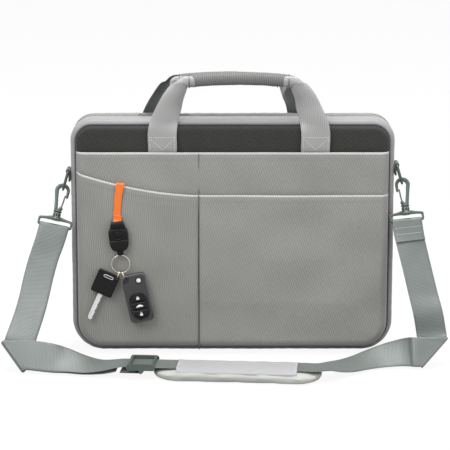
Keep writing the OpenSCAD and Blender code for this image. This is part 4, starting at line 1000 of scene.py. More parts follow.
def grip(name, rear):
    """The sleeve over a grip: an arc of a large circle, round in section, a little flat beneath, with
    puckered cuffs that draw in over the last four millimetres."""
    rise, reach = RISE_REACH[rear]
    t = np.linspace(-1, 1, 120)
    s = np.sign(t) * (1 - (1 - np.abs(t)) ** 1.25) * GRIP_L / 2
    arch = GRIP_ARCH * (1 - (s / (GRIP_L / 2)) ** 2)
    a = np.linspace(0, 2 * PI, 44, endpoint=False)
    ends = np.sqrt(np.clip(1 - np.clip((np.abs(s) - GRIP_L / 2 + 4.0) / 4.2, 0, 1) ** 2, 0.12, 1))
    pucker = 0.22 * np.sin(9 * a)[None, :] * np.exp(-(GRIP_L / 2 - np.abs(s)) / 7.0)[:, None]
    radius = (GRIP_D / 2 - 0.3) * ends[:, None] + pucker + 0.15 * ripple(6 * s[:, None], 9 * a[None, :], 31)
    radius = radius + 0.5 * np.exp(-((a - 1.5 * PI) / 0.16) ** 2)[None, :]
    y = reach + radius * np.cos(a)[None, :]
    z = rise + arch[:, None] + radius * np.sin(a)[None, :] * np.where(np.sin(a) < 0, 0.93, 1.0)[None, :]
    ring = handle_place(np.stack([s[:, None] + 0 * y, y, z], -1), rear)
    uv = np.stack([a[None, :] * GRIP_D / 2 + 0 * y, s[:, None] + 0 * y], -1)
    seam = np.stack([s, reach - 5.9 + 0 * s, rise + arch - 6.0], -1)[6:-6]
    return loft(name, ring, GRIP_CLOTH, uv), handle_place(seam, rear)


# the sewn box and its point at a handle's end: (heights, shares across) of each row
BOX_ROWS = (((276, 276), (-0.84, 0.84)), ((274, 261), (-0.8, 0)), ((261, 274), (0, 0.8)),
            ((243, 278), (-0.86, -0.86)), ((243, 278), (0.86, 0.86)))


def carry_handle(tag, rear):
    """Both straps, their sewn boxes, the sleeved grip with its seam, and a cuff ring at each end of it."""
    fixed, moving = ("back_flap" if rear else "bag"), tag + "_handle"
    hinge_y, way = (0.0386, -1) if rear else (-0.0386, 1)
    rows = []
    for side, word in ((-1, "left"), (1, "right")):
        strap, stations, length = handle_side(f"{tag}_handle_strap_{word}", side, rear)
        if side < 0:
            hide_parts(tag + "_handle_strap", tag + "_handle_patches")
        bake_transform(strap)
        rows += [on_band(stations, np.linspace(*heights, 30), np.linspace(*shares, 30))
                 for heights, shares in BOX_ROWS]
    box = stitches(tag + "_handle_box", rows, None, THREAD, 2.9, 1.9, 0.38, 0.0,
                   (0, -way, 0))
    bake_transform(box)
    sleeve, seam = grip(tag + "_grip_sleeve", rear)
    puffed(sleeve, 0.7, 2.4)
    finished(sleeve, moving, "handle_cloth", tag + "_handle_grip")
    stitches(tag + "_grip_seam", [seam], moving, DARK_THREAD, 3.0, 1.9, 0.3, 0.1,
             (0, -0.7 * way, -0.72))
    rise, reach = RISE_REACH[rear]
    a = np.linspace(0, 2 * PI, 40, endpoint=False)
    for side, word in ((-1, "left"), (1, "right")):
        cuff = np.stack([side * 61.6 + 0 * a, reach + 8.2 * np.cos(a), rise + 0.2 + 8.1 * np.sin(a)], -1)
        cuff_ring = tube(f"{tag}_grip_cuff_{word}", handle_place(cuff, rear), 0.75, TRIM, 8, True)
        finished(cuff_ring, moving, "handle_cloth")


carry_handle("front", False)
carry_handle("rear", True)


# --- solid shapes --------------------------------------------------------------------------

def band_between(name, inner, outer, half, material, close=True, place=None, sides=16):
    """A cast bar between two lines in the x-z plane: its section is a squarish oval, as wide as the
    lines are apart and twice the half thickness deep."""
    inner, outer = np.asarray(inner, float), np.asarray(outer, float)
    a = np.linspace(0, 2 * PI, sides, endpoint=False) + PI / sides
    c = np.sign(np.cos(a)) * np.abs(np.cos(a)) ** 0.55
    s = np.sign(np.sin(a)) * np.abs(np.sin(a)) ** 0.55
    middle, arm = (inner + outer) / 2, (outer - inner) / 2
    flat = middle[:, None] + arm[:, None] * c[None, :, None]
    depth = np.broadcast_to(np.asarray(half, float), len(inner))[:, None] * s[None, :]
    ring = np.stack([flat[..., 0], depth, flat[..., 1]], -1)
    return loft(name, place(ring) if place else ring, material, close_path=close)


def turned_body(name, profile, material, place, sides=28):
    """A profile of (radius, height) carried round the z axis, its ends filled."""
    r, z = np.asarray(profile, float).T
    a = np.linspace(0, 2 * PI, sides, endpoint=False)
    ring = np.stack([r[:, None] * np.cos(a), r[:, None] * np.sin(a), z[:, None] + 0 * a], -1)
    return loft(name, place(ring), material)


def plate(name, half_widths, levels, half_depths, material, place, sides=28, power=0.5):
    """A moulded body along z: squarish ovals whose half width and half depth change with the level."""
    a = np.linspace(0, 2 * PI, sides, endpoint=False)
    c = np.sign(np.cos(a)) * np.abs(np.cos(a)) ** power
    s = np.sign(np.sin(a)) * np.abs(np.sin(a)) ** power
    w, d, z = (np.asarray(v, float)[:, None] for v in (half_widths, half_depths, levels))
    return loft(name, place(np.stack([w * c, d * s, z + 0 * c], -1)), material)


def about_y(angle, origin):
    """Turns points about the y axis and moves them to their place."""
    def place(p):
        p = np.asarray(p, float)
        return np.asarray(origin) + np.stack([
            p[..., 0] * math.cos(angle) + p[..., 2] * math.sin(angle), p[..., 1],
            p[..., 2] * math.cos(angle) - p[..., 0] * math.sin(angle)], -1)
    return place


def circle(radius, x, y, z, n=40):
    """A circle that faces the front, about its middle."""
    a = np.linspace(0, 2 * PI, n, endpoint=False)
    return np.stack([x + radius * np.cos(a), y + 0 * a, z + radius * np.sin(a)], -1)


def facing_front(place, x, y, z):
    """Stands a body turned about z on a face, its height pointing to the front."""
    return lambda p: place(np.stack([p[..., 0] + x, y - p[..., 2], p[..., 1] + z], -1))


def cushion(name, edge, z0, z1, rim, crown, material, place, seam=0.0):
    """A flat stuffed piece: rings of an outline drawn in towards its middle over a crowned top, half an
    ellipse round the rim, then the same rings back over the base."""
    edge = np.asarray(edge, float)
    centre = edge.mean(0)
    normal = np.roll(edge, -1, 0) - np.roll(edge, 1, 0)
    normal = np.stack([normal[:, 1], -normal[:, 0]], -1)
    normal /= np.linalg.norm(normal, axis=1)[:, None]
    core = edge - normal * rim
    mid, half = (z0 + z1) / 2, (z1 - z0) / 2
    shares = (0.03, 0.2, 0.4, 0.6, 0.75, 0.87, 0.95)
    inward = [centre + (core - centre) * q for q in shares]
    rings = [np.column_stack([flat, np.full(len(flat), z1 + crown * (1 - q ** 4))])
             for q, flat in zip(shares, inward)]
    for angle in np.radians([90, 70, 50, 30, 12, 0, -12, -30, -50, -70, -90]):
        pull = seam * np.exp(-(angle / 0.16) ** 2)
        flat = core + normal * (rim * math.cos(angle) - pull)
        rings.append(np.column_stack([flat, np.full(len(flat), mid + half * math.sin(angle))]))
    rings += [np.column_stack([flat, np.full(len(flat), z0)]) for flat in inward[::-1]]
    return loft(name, place(np.array(rings)), material)


def rounded_rectangle(w, h, r, n=16):
    """Corner arcs of a rounded rectangle, anticlockwise, with even points on its straights."""
    a = np.linspace(0, PI / 2, n)
    arcs = [np.stack([sx * (w / 2 - r) + r * np.cos(a + t), sy * (h / 2 - r) + r * np.sin(a + t)], -1)
            for sx, sy, t in ((1, 1, 0), (-1, 1, PI / 2), (-1, -1, PI), (1, -1, 1.5 * PI))]
    points = np.concatenate(arcs + [arcs[0][:1]])
    run = np.concatenate([[0], np.cumsum(np.linalg.norm(np.diff(points, axis=0), axis=1))])
    s = np.linspace(0, run[-1], int(run[-1] / 1.6), endpoint=False)
    return np.stack([np.interp(s, run, points[:, 0]), np.interp(s, run, points[:, 1])], -1)


def softened(node, width, material, segments=2):
    """A merged copy of a CAD node with its edges rounded, which stands for it."""
    source = frame["nodes"][node]
    mesh = source.data.copy()
    work = bmesh.new()
    work.from_mesh(mesh)
    bmesh.ops.remove_doubles(work, verts=work.verts, dist=1e-6)
    bmesh.ops.dissolve_limit(work, angle_limit=math.radians(4), verts=work.verts, edges=work.edges)
    work.to_mesh(mesh)
    work.free()
    mesh.materials.clear()
    mesh.materials.append(material)
    obj = bpy.data.objects.new(node + "_finished", mesh)
    bpy.context.scene.collection.objects.link(obj)
    bevel = obj.modifiers.new("edges", "BEVEL")
    bevel.width, bevel.segments, bevel.limit_method = width * MM, segments, "ANGLE"
    bevel.angle_limit = math.radians(35)
    bevel.harden_normals = False
    mesh.polygons.foreach_set("use_smooth", [True] * len(mesh.polygons))
    mesh.set_sharp_from_angle(angle=math.radians(35))
    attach(obj, source["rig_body"])
    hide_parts(node)
    return obj


# --- rings and hooks -----------------------------------------------------------------------

def ring_place(side):
    """From a ring's own frame, its straight bar along y at the origin, to the side of the case."""
    c, s = math.cos(RING_HANG), math.sin(RING_HANG)

    def place(p):
        return np.stack([side * (RING_X + p[..., 0] * c - p[..., 2] * s), RING_Y + p[..., 1],
                         RING_Z[side] + p[..., 2] * c + p[..., 0] * s], -1)
    return place


def d_ring_line():
    """The ring's line: a straight bar, small corners, two legs and half a circle."""
    t = np.linspace(0, PI / 2, 8)
    k = 2.6
    right = np.stack([RING_R - k + k * np.sin(t), -k + k * np.cos(t)], -1)
    bow = np.linspace(0, -PI, 40)
    low = np.stack([RING_R * np.cos(bow), -RING_LEG + RING_R * np.sin(bow)], -1)
    left = right[::-1] * [-1, 1]
    line = np.concatenate([[[0, 0], [6, 0]], right, low, left, [[-6, 0]]])
    return np.stack([0 * line[:, 0], line[:, 0], line[:, 1]], -1)


def hook_frame(tag, place):
    """A slot with round ends by a superellipse, its top bar swelling to shoulders under the barrel, and
    the barrel with its three windows."""
    t = np.linspace(0, 2 * PI, 96, endpoint=False)
    across = np.sign(np.cos(t)) * np.abs(np.cos(t)) ** 0.32
    up = np.sign(np.sin(t)) * np.abs(np.sin(t)) ** 0.32
    half, low = SLOT_L / 2, BAR_Z + 1.4
    ix, iz = half * across, (SLOT_TOP + low) / 2 + (SLOT_TOP - low) / 2 * up
    shoulder = 3.6 * np.exp(-(ix / 8.5) ** 2) + 3.0
    ox, oz = ix + 2.6 * across, iz + np.where(up >= 0, shoulder, 3.0) * up
    boss = np.exp(-((np.abs(ox) - half - 2) / 3.0) ** 2)
    band = band_between(f"hook_frame_{tag}_cast", np.stack([ix, iz], -1), np.stack([ox, oz], -1),
                        1.9 + 0.7 * boss, GREEN, place=place)
    finished(band, "shoulder_strap", "hardware", f"hook_frame_{tag}")
    barrel = [(0.1, -1.4), (4.2, -1.4), (4.9, -2.0), (5.0, -3.2), (5.0, -6.4), (5.6, -8.2), (7.0, -9.6),
              (7.4, -10.6), (6.2, -11.2), (0.1, -11.2)]
    finished(turned_body(f"hook_barrel_{tag}", barrel, GREEN, place), "shoulder_strap", "hardware")
    for i in (-1, 0, 1):
        at = math.radians(-90 + 34 * i)
        shift = [4.75 * math.cos(at), 4.75 * math.sin(at), 0]
        window = plate(f"hook_window_{tag}_{i + 1}", [0.1, 0.75, 0.75, 0.1], [-6.6, -6.5, -3.6, -3.5],
                       [0.1, 0.5, 0.5, 0.1], BLACK, lambda p, shift=shift: place(p + shift), 12)
        finished(window, "shoulder_strap", "black_plastic")


def hook_bow(tag, place):
    """A collar of two discs, and a bar that goes up the spine, half round the crown and down to the
    nose, broadest at the crown."""
    collar = [(0.1, -0.9), (4.4, -0.9), (5.3, -0.5), (5.4, 0.3), (5.1, 0.9), (4.2, 1.1), (4.3, 1.5),
              (4.5, 2.4), (3.9, 3.2), (2.4, 3.9), (0.1, 4.2)]
    body = f"hook_{tag}"
    finished(turned_body(f"hook_collar_{tag}", collar, GREEN, place), body, "hardware", f"snap_hook_{tag}")
    turn = np.linspace(PI, 0, 26)
    spine = np.stack([np.linspace(-2.6, CROWN_X - CROWN_R, 12), np.linspace(2.0, CROWN_Z, 12)], -1)[:-1]
    arc = np.stack([CROWN_X + CROWN_R * np.cos(turn), CROWN_Z + CROWN_R * np.sin(turn)], -1)
    nose = np.stack([np.full(7, CROWN_X + CROWN_R), np.linspace(CROWN_Z, NOSE_Z - 1.2, 8)[1:]], -1)
    line = np.concatenate([spine, arc, nose])
    step = np.gradient(line, axis=0)
    aside = np.stack([-step[:, 1], step[:, 0]], -1) / np.linalg.norm(step, axis=1)[:, None]
    run = np.concatenate([[0], np.cumsum(np.linalg.norm(np.diff(line, axis=0), axis=1))])
    share = run / run[-1]
    wide = np.interp(share, [0, 0.25, 0.45, 0.62, 0.85, 0.97, 1], [2.2, 2.1, 2.5, 2.5, 1.9, 1.5, 0.7])
    deep = np.interp(share, [0, 0.25, 0.5, 0.8, 0.97, 1], [2.6, 2.3, 2.6, 2.0, 1.6, 0.7])
    bow = band_between(f"hook_bow_{tag}", line + aside * wide[:, None], line - aside * wide[:, None], deep,
                       GREEN, close=False, place=place)
    finished(bow, body, "hardware")
    hinge = plate(f"hook_hinge_{tag}", [0.4, 2.0, 2.3, 2.0, 0.4], [2.4, 2.7, 4.4, 6.0, 6.4],
                  [2.4, 3.0, 3.2, 3.0, 2.4], GREEN, lambda p: place(p + [3.1, 0, 0]), 20)
    finished(hinge, body, "hardware")


def hook_gate(tag, place):
    """A sprung wire from the hinge to the inside of the nose."""
    tip = np.array([CROWN_X + CROWN_R - 2.6, 0, NOSE_Z + 0.5])
    wire = np.array([[3.1, 0, 4.4], [3.4, 0, 7.0], [4.2, 0, 12.0], tip, tip + [0.9, 0, 1.6]])
    gate = tube(f"hook_gate_{tag}_wire", place(smooth(wire[:, None], 6)[:, 0]), 0.95, GATE, 12)
    finished(gate, f"gate_{tag}", "gate_metal", f"hook_gate_{tag}")


def ring_tab(side, tag):
    """A tab of webbing sewn to the case and turned round the ring's bar, with two rows of thread."""
    z0 = RING_Z[side]
    turn = np.radians(np.linspace(180, -90, 22))
    loop = np.concatenate([[[-2.2, -13], [-2.2, -8], [-2.2, -3]],
                           np.stack([2.35 * np.cos(turn), 2.35 * np.sin(turn)], -1),
                           [[-0.9, -3.6], [-1.05, -7], [-1.0, -13]]])
    stations = np.array([pair([side * (RING_X + x), RING_Y, z0 + z], [0, 1, 0], 12.0) for x, z in loop])
    tab, _ = ribbon(f"ring_tab_{tag}", smooth(stations, 3), 1.1, HANDLE_BACK)
    finished(tab, "bag", "gusset_cloth", *(["ring_tabs"] if side < 0 else []))
    x = side * (RING_X - 0.4)
    rows = [np.array([[x, RING_Y - 10, z0 + z], [x, RING_Y + 10, z0 + z]]) for z in (-5.0, -11.5)]
    stitches(f"ring_tab_stitches_{tag}", rows, "bag", THREAD, 2.6, 1.9, 0.22, 0.1, (side, 0, 0))


def on_hook(side):
    """From a hook's own frame, the middle of its collar at the origin, to its place."""
    origin = hook_at(side)
    return lambda p: origin + turned(side, p)


for side, tag in ((-1, "left"), (1, "right")):
    wire = tube(f"d_ring_{tag}_wire", ring_place(side)(d_ring_line()), 1.5, GREEN, 14, True)
    finished(wire, f"d_ring_{tag}", "hardware", f"d_ring_{tag}")
    hook_frame(tag, on_hook(side))
    hook_bow(tag, on_hook(side))
    hook_gate(tag, on_hook(side))
    ring_tab(side, tag)


# --- adjuster, pad and its sleeve ----------------------------------------------------------

softened("strap_adjuster", 0.8, GREEN, 3)


def end_loop():
    """The webbing's end, turned round the adjuster's middle bar and sewn back on itself."""
    turn = np.radians(np.linspace(-90, 90, 16))
    line = np.concatenate([[[-26, -2.35], [-14, -2.35], [-4, -2.35]],
                           np.stack([2.35 * np.cos(turn), 2.35 * np.sin(turn)], -1),
                           [[-4, 2.0], [-10, -0.5], [-24, -0.7]]]) + [0, -4.9]
    stations = np.array([[on_strap([x - 116, s * WEB_W / 2, z]) for s in (-1, 1)] for x, z in line])
    loop, _ = ribbon("strap_end_loop_tape", smooth(stations, 4), 1.4, WEBBING)
    finished(loop, "strap_adjuster", "webbing", "strap_end_loop")


def pad_sleeve(half_length=73.0, half_width=26.0):
    """Cloth over the pad's middle: its height across is a flattened arch, (1 - u^3.2)^0.7, its ends are
    lifted a little by their hems, and it is 0.9 mm thick."""
    y = np.linspace(-half_width, half_width, 49)
    top = -3.4 + 5.5 * (1 - np.abs(y / half_width) ** 3.2) ** 0.7
    x = np.linspace(-half_length, half_length, 110)
    lifted = 0.5 * np.exp(-(half_length - np.abs(x)) / 3.0)[:, None] * (top > 0)
    z = top[None, :] + 0.25 * ripple(3 * x[:, None], 5 * y[None, :], 41) + lifted
    outer = np.stack([x[:, None] + 0 * y, y[None, :] + 0 * x[:, None], z], -1)
    ring = np.concatenate([outer, outer[:, ::-1] - [0, 0, 0.9]], 1)
    sleeve = loft("pad_sleeve_cover", on_strap(ring), COVER, ring[..., [1, 0]])
    finished(sleeve, "shoulder_pad", "pad_cover", "pad_sleeve")
    s = np.linspace(-24, 24, 40)
    rows = [on_strap(np.stack([x0 + 0 * s, s, np.interp(s, y, top) + 0.2], -1)) for x0 in (-71, 71)]
    s = np.linspace(-72, 72, 60)
    rows += [on_strap(np.stack([s, y0 + 0 * s, np.interp(y0, y, top) + 0.05 + 0 * s], -1))
             for y0 in (-24.6, 24.6)]
    stitches("pad_sleeve_stitches", rows, "shoulder_pad", THREAD, 3.0, 2.1, 0.24, 0.1,
             (0, 0, 1))


end_loop()
pad = cushion("shoulder_pad_cushion", rounded_rectangle(202, 58, 27.5)[::-1], -14.1, -4.2, 4.8, 0.5,
              MESH_CLOTH, on_strap, 0.5)
puffed(pad, 2.0, 4.0, 0.3)
finished(pad, "shoulder_pad", "pad_mesh", "shoulder_pad")
pad_sleeve()


# --- key leash -----------------------------------------------------------------------------

HANG_Y = -53.8             # depth at which the buckle, the ring and the keys hang
LEASH_TURN, BUCKLE_TURN, KEY_TURN, REMOTE_TURN = (math.radians(v) for v in (4.6, -5.6, 24, -12.5))
LEASH_AT = np.array([-140.0, -47.25, 217.034])
BUCKLE_AT = np.array([-143.689, HANG_Y, 171.034])
RING_TOP = np.array([-139.688, HANG_Y, 130.23])
KEY_AT = np.array([-145.04, HANG_Y, 100.064])
REMOTE_AT = np.array([-135.418, HANG_Y, 99.56])


def leash_loop():
    """Webbing from behind the pocket's lip, over it and down to the buckle's eye and back up behind
    itself. Its half width and its sway aside change from station to station."""
    place = about_y(LEASH_TURN, LEASH_AT)
    turn = np.radians(np.linspace(0, 180, 14))
    over = np.stack([2.0 * np.cos(turn), 1.2 + 2.0 * np.sin(turn)], -1)
    front = [[-2.1, -4], [-2.2, -14], [-2.3, -26], [-2.6, -36], [-2.7, -42]]
    turn = np.radians(np.linspace(20, -250, 18))
    eye = np.stack([-4.4 + 2.3 * np.cos(turn), -46.0 + 2.3 * np.sin(turn)], -1)
    line = np.concatenate([[[2.0, -30], [2.0, -12]], over, front, eye, [[-4.1, -41.5], [-3.9, -37.0]]])
    at = np.arange(len(line))
    half = np.interp(at, [0, 15, 18, 20, 22, 40], [5.0, 5.3, 4.3, 4.4, 4.9, 4.9])[:, None]
    sway = np.interp(at, [0, 15, 17, 19, 21, 40], [0.0, 0.6, -1.1, -1.0, 0.0, 0.0])[:, None]
    stations = np.stack([np.hstack([sway - half, line]), np.hstack([sway + half, line])], 1)
    leash, length = ribbon("leash_tape_loop", smooth(place(stations), 5), 1.0, LEASH)
    finished(leash, "bag", "leash", "leash_webbing")
    rows = [place(np.array([[-3.7, -4.9, z], [3.7, -4.9, z]])) for z in (-38.2, -40.6)]
    stitches("leash_tack", rows, "bag", LEASH, 1.3, 1.1, 0.2, 0.0)


def buckle():
    """Two squarish shells that meet below a round button, by half widths and half depths at levels."""
    place = about_y(BUCKLE_TURN, BUCKLE_AT)
    levels = np.array([2.0, 1.6, -1, -6.6, -7.0, -7.6, -8.0, -12, -16, -19.6, -20.6, -20.9])
    widths = np.array([6.6, 7.6, 8.4, 9.8, 9.4, 10.6, 11.4, 12.1, 12.3, 12.2, 12.0, 11.6])
    depths = np.array([2.2, 3.2, 3.6, 3.9, 3.4, 3.9, 4.0, 4.1, 4.1, 4.0, 3.9, 3.4])
    socket = plate("buckle_socket_shell", widths, levels, depths, BLACK, place, 36, 0.45)
    finished(socket, "bag", "black_plastic", "leash_buckle_socket")
    button_z = -14.2
    rim = tube("buckle_rim", place(circle(6.3, 0, -4.3, button_z)), 0.85, BLACK, 10, True)
    finished(rim, "bag", "black_plastic")
    profile = [(0.1, 4.9), (3.0, 4.8), (4.2, 4.5), (4.6, 4.0), (4.6, 3.0), (0.1, 3.0)]
    button = turned_body("buckle_button", profile, BLACK, facing_front(place, 0, 0, button_z))
    finished(button, "bag", "black_plastic")
    levels = np.array([-21.1, -21.4, -24, -28, -31.5, -33.9, -34.8, -35.4, -38.2, -40.6, -41.2])
    widths = np.array([11.5, 12.0, 12.0, 11.5, 10.4, 8.9, 6.6, 4.2, 3.8, 3.4, 2.4])
    depths = np.array([3.4, 3.9, 4.0, 4.0, 3.9, 3.6, 3.0, 2.6, 2.4, 2.0, 1.4])
    plug = plate("buckle_plug_shell", widths, levels, depths, BLACK, place, 32, 0.45)
    finished(plug, "leash_plug", "black_plastic", "leash_buckle_plug")


leash_loop()
buckle()

# split ring: two turns of flattened wire side by side
COIL_R, COIL_STEP = 11.4, 0.62
a = np.linspace(0, 4 * PI, 180)
coil = np.stack([COIL_R * np.sin(a), COIL_STEP * np.tanh((a - 2 * PI) / 0.5), COIL_R * (np.cos(a) - 1)], -1)
coil += RING_TOP
finished(tube("split_ring_coil", coil, 0.66, GOLD, 10), "split_ring", "ring_metal", "split_ring")
for name, body, at, angle, node in (("key_link_wire", "key", KEY_AT, KEY_TURN, "key_link"),
                                    ("remote_link_wire", "remote", REMOTE_AT, REMOTE_TURN, "remote_link")):
    a = np.linspace(0, 2 * PI, 60, endpoint=False)
    wire = np.stack([0 * a, 4.8 * np.cos(a), 5.95 + 4.8 * np.sin(a)], -1)
    finished(tube(name, about_y(angle, at)(wire), 0.7, GOLD, 10, True), body, "ring_metal", node)

key_place, remote_place = about_y(KEY_TURN, KEY_AT), about_y(REMOTE_TURN, REMOTE_AT)
softened("key_bow", 1.1, BLACK, 3)
slot_line = rounded_rectangle(12.5, 3.0, 1.45)
slot = np.stack([slot_line[:, 0] - 10.0, np.full(len(slot_line), -3.62), slot_line[:, 1] - 1.4], -1)
finished(tube("key_slot_rim", key_place(slot), 0.35, STEEL, 8, True), "key", "key_steel")
fill = plate("key_slot_floor", [0.2, 6.2, 6.2, 0.2], [-2.9, -2.7, -0.1, 0.1], [0.1, 0.3, 0.3, 0.1], SHELL,
             lambda p: key_place(p + [-10.0, -3.55, 0]), 24)
finished(fill, "key", "remote_shell")


KEY_NOTCHES = ((-14, 1.5, 1.5), (-18.5, 0.9, 1.4), (-22.5, 1.9, 1.6), (-27, 1.2, 1.4), (-31, 2.1, 1.6),
               (-35.5, 1.0, 1.5), (-39.5, 1.6, 1.4))         # level, depth and half width of each


def key_blade():
    """A blade with a groove along it and a cut edge: its width steps in by rounded notches."""
    z = np.linspace(0, -44, 300)
    cut = np.zeros_like(z)
    for at, deep, half in KEY_NOTCHES:
        cut = np.maximum(cut, deep * np.clip(1.6 - np.abs(z - at) / half, 0, 1))
    tip = 2.2 * np.clip((-z - 41.0) / 3.0, 0, 1) ** 2
    x0, x1 = -3.1 + tip, 3.2 - 0.6 * cut - tip
    u = np.array([0.0, 0.03, 0.3, 0.38, 0.52, 0.6, 0.97, 1.0])
    y = np.array([0.55, 0.95, 1.0, 0.55, 0.55, 1.0, 0.95, 0.55])
    across = x0[:, None] + (x1 - x0)[:, None] * u
    front = np.stack([across, -np.broadcast_to(y, across.shape), z[:, None] + 0 * across], -1)
    ring = np.concatenate([front, front[:, ::-1] * [1, -1, 1]], 1)
    return loft("key_blade_cut", key_place(ring + [-10.6, 0, -17.6]), STEEL)


finished(key_blade(), "key", "key_steel", "key_blade")

softened("remote_case", 1.4, SHELL, 3)
REMOTE_X, REMOTE_Z, OVAL_Z = 11.4, -26.9, -37.0      # middle of the remote's case, and of its oval
LAMP_X, LAMP_Z = 17.5, -4.5
band_line = rounded_rectangle(29.4, 60.4, 6.0)
band = np.stack([band_line[:, 0] + REMOTE_X, 0 * band_line[:, 0] - 4.6, band_line[:, 1] + REMOTE_Z], -1)
finished(tube("remote_edge_band", remote_place(band), 0.9, RIM, 8, True), "remote", "remote_shell")
disc = [(0.1, 0.35), (2.6, 0.35), (2.9, 0.1), (2.9, -0.4), (0.1, -0.4)]
finished(turned_body("remote_lamp", disc, PRINT, facing_front(remote_place, LAMP_X, -5.5, LAMP_Z)), "remote",
         "remote_keys")
lamp_ring = remote_place(circle(3.5, LAMP_X, -5.5, LAMP_Z, 30))
finished(tube("remote_lamp_ring", lamp_ring, 0.6, KEYS, 8, True), "remote", "remote_keys")
oval = rounded_rectangle(21.6, 34.4, 10.7)
rim = np.stack([oval[:, 0] + REMOTE_X, np.full(len(oval), -5.6), oval[:, 1] + OVAL_Z], -1)
finished(tube("remote_oval_rim", remote_place(rim), 0.8, KEYS, 10, True), "remote", "remote_keys")


def remote_key(name, z0, z1, node, body, swell):
    """A key cut from the oval: rows from its lower to its upper level, as wide as the oval there, and
    its face domed."""
    z = np.linspace(z0, z1, 26)
    beyond = np.clip(np.abs(z - OVAL_Z) - 6.4, 0, None)
    half = np.sqrt(np.clip(10.1 ** 2 - beyond ** 2, 0.3, None))
    u = np.linspace(-1, 1, 25)
    x = REMOTE_X + half[:, None] * u
    share = (2 * z - z0 - z1) / (z1 - z0)
    dome = np.clip(1 - u ** 4, 0, 1)[None, :] * np.clip(1 - share ** 6, 0, 1)[:, None]
    front = np.stack([x, -5.0 - swell * dome ** 0.5, z[:, None] + 0 * x], -1)
    rear = np.stack([x, -4.0 + 0 * x, z[:, None] + 0 * x], -1)[:, ::-1]
    key = loft(name, remote_place(np.concatenate([front, rear], 1)), KEYS)
    finished(key, body, "remote_keys", node)


remote_key("remote_key_lock", -31.8, -20.8, "remote_lock_button", "lock_button", 1.0)
remote_key("remote_key_boot", -41.8, -32.2, "remote_boot_button", "boot_button", 0.9)
remote_key("remote_key_unlock", -53.2, -42.2, "remote_unlock_button", "unlock_button", 1.0)


def sign(name, body, outlines, at_z):
    """A small raised sign on a key: flat outlines, each closed by its own face, on a thin wall."""
    points, faces = [], []
    points, faces = [], []
    for line in outlines:
        n, base = len(line), len(points)
        for y in (-6.7, -5.4):
            points += [[REMOTE_X + p[0], y, at_z + p[1]] for p in line]
        faces += [list(range(base, base + n)), list(range(base + n, base + 2 * n))]
        faces += [[base + i, base + (i + 1) % n, base + n + (i + 1) % n, base + n + i] for i in range(n)]
    finished(mesh_piece(name, remote_place(np.array(points)), faces, PRINT), body, "remote_keys")


PADLOCK = [[-1.8, -1.8], [1.8, -1.8], [1.8, 0.9], [-1.8, 0.9]]
CAR = [[-4.4, -1.0], [-4.2, 0.3], [-2.6, 0.7], [-1.4, 1.8], [1.4, 1.9], [2.7, 0.8], [4.3, 0.5], [4.5, -1.0],
       [3.3, -1.0], [2.6, -1.6], [1.9, -1.0], [-1.9, -1.0], [-2.6, -1.6], [-3.3, -1.0]]


def shackle(turn_to, lift):
    """A half ring over a padlock's body."""
    a = np.linspace(0, math.radians(turn_to), 12)
    outside = np.stack([1.35 * np.cos(a), lift + 1.6 * np.sin(a)], -1)
    inside = np.stack([0.8 * np.cos(a), lift + 1.05 * np.sin(a)], -1)[::-1]
    return np.concatenate([outside, inside])


sign("sign_lock", "lock_button", [PADLOCK, shackle(180, 0.85)], -26.6)
sign("sign_car", "boot_button", [CAR], OVAL_Z)
sign("sign_unlock", "unlock_button", [PADLOCK, shackle(150, 1.3)], -47.6)


# --- inside, back and seams ----------------------------------------------------------------

DIVIDER_Y, DIVIDER_TOP = -5.5, 257.6


def divider_face(way):
    """A padded board: its faces stand off the middle by a quarter ellipse of the distance from an edge."""
    def face(x, z):
        d = np.clip(np.minimum(edge_distance(x, z, 5.4), DIVIDER_TOP - z), 0, None)
        return DIVIDER_Y + way * 2.4 * (0.3 + 0.7 * roll(d, 3.0)) + 0.1 * ripple(x, z, 51)
    return face


def padded_divider():
    """The divider with its bound edge, and the tab that closes over the laptop, sewn to it."""
    divider = columns("divider_padding", -197.4, 197.4, lambda x: np.maximum(floor_of(x, 5.6), 7.2),
                      lambda x: DIVIDER_TOP + 0 * x, divider_face(-1), divider_face(1), LINING)
    finished(divider, "bag", "lining", "divider")
    edge = np.array([[x, DIVIDER_Y, z] for x, z in ((-197, 60), (-197, 252), (-192, 257.4), (192, 257.4),
                                                    (197, 252), (197, 60))])
    finished(tube("divider_binding", smooth(edge[:, None], 1)[:, 0], 2.0, TRIM), "bag", "piping")
    line = ((-2.3, 214), (-2.2, 226), (-2.2, 242), (-2.2, 254), (-2.6, 262), (-2.9, 264.6))
    tab = np.array([pair([0, y, z], [1, 0, 0], 12.3) for y, z in line])
    closing, _ = ribbon("divider_tab_tape", smooth(tab, 6), 1.2, HANDLE_BACK)
    finished(closing, "bag", "webbing", "divider_tab")
    box = np.array([[x, -3.2, z] for x, z in ((-9.5, 216), (9.5, 216), (9.5, 232), (-9.5, 232),
                                              (-9.5, 216))])
    stitches("divider_tab_stitches", [box], "bag", THREAD, 3.0, 2.1, 0.22, 1.7, (0, 1, 0))


def sleeve_face(x, z):
    """The trolley sleeve stands 6 mm off the back and rolls down to its two sewn sides."""
    return 35.0 + 5.6 * roll(94.0 - np.abs(x), 9.0) + 0.35 * ripple(x, z, 61) + 0.5


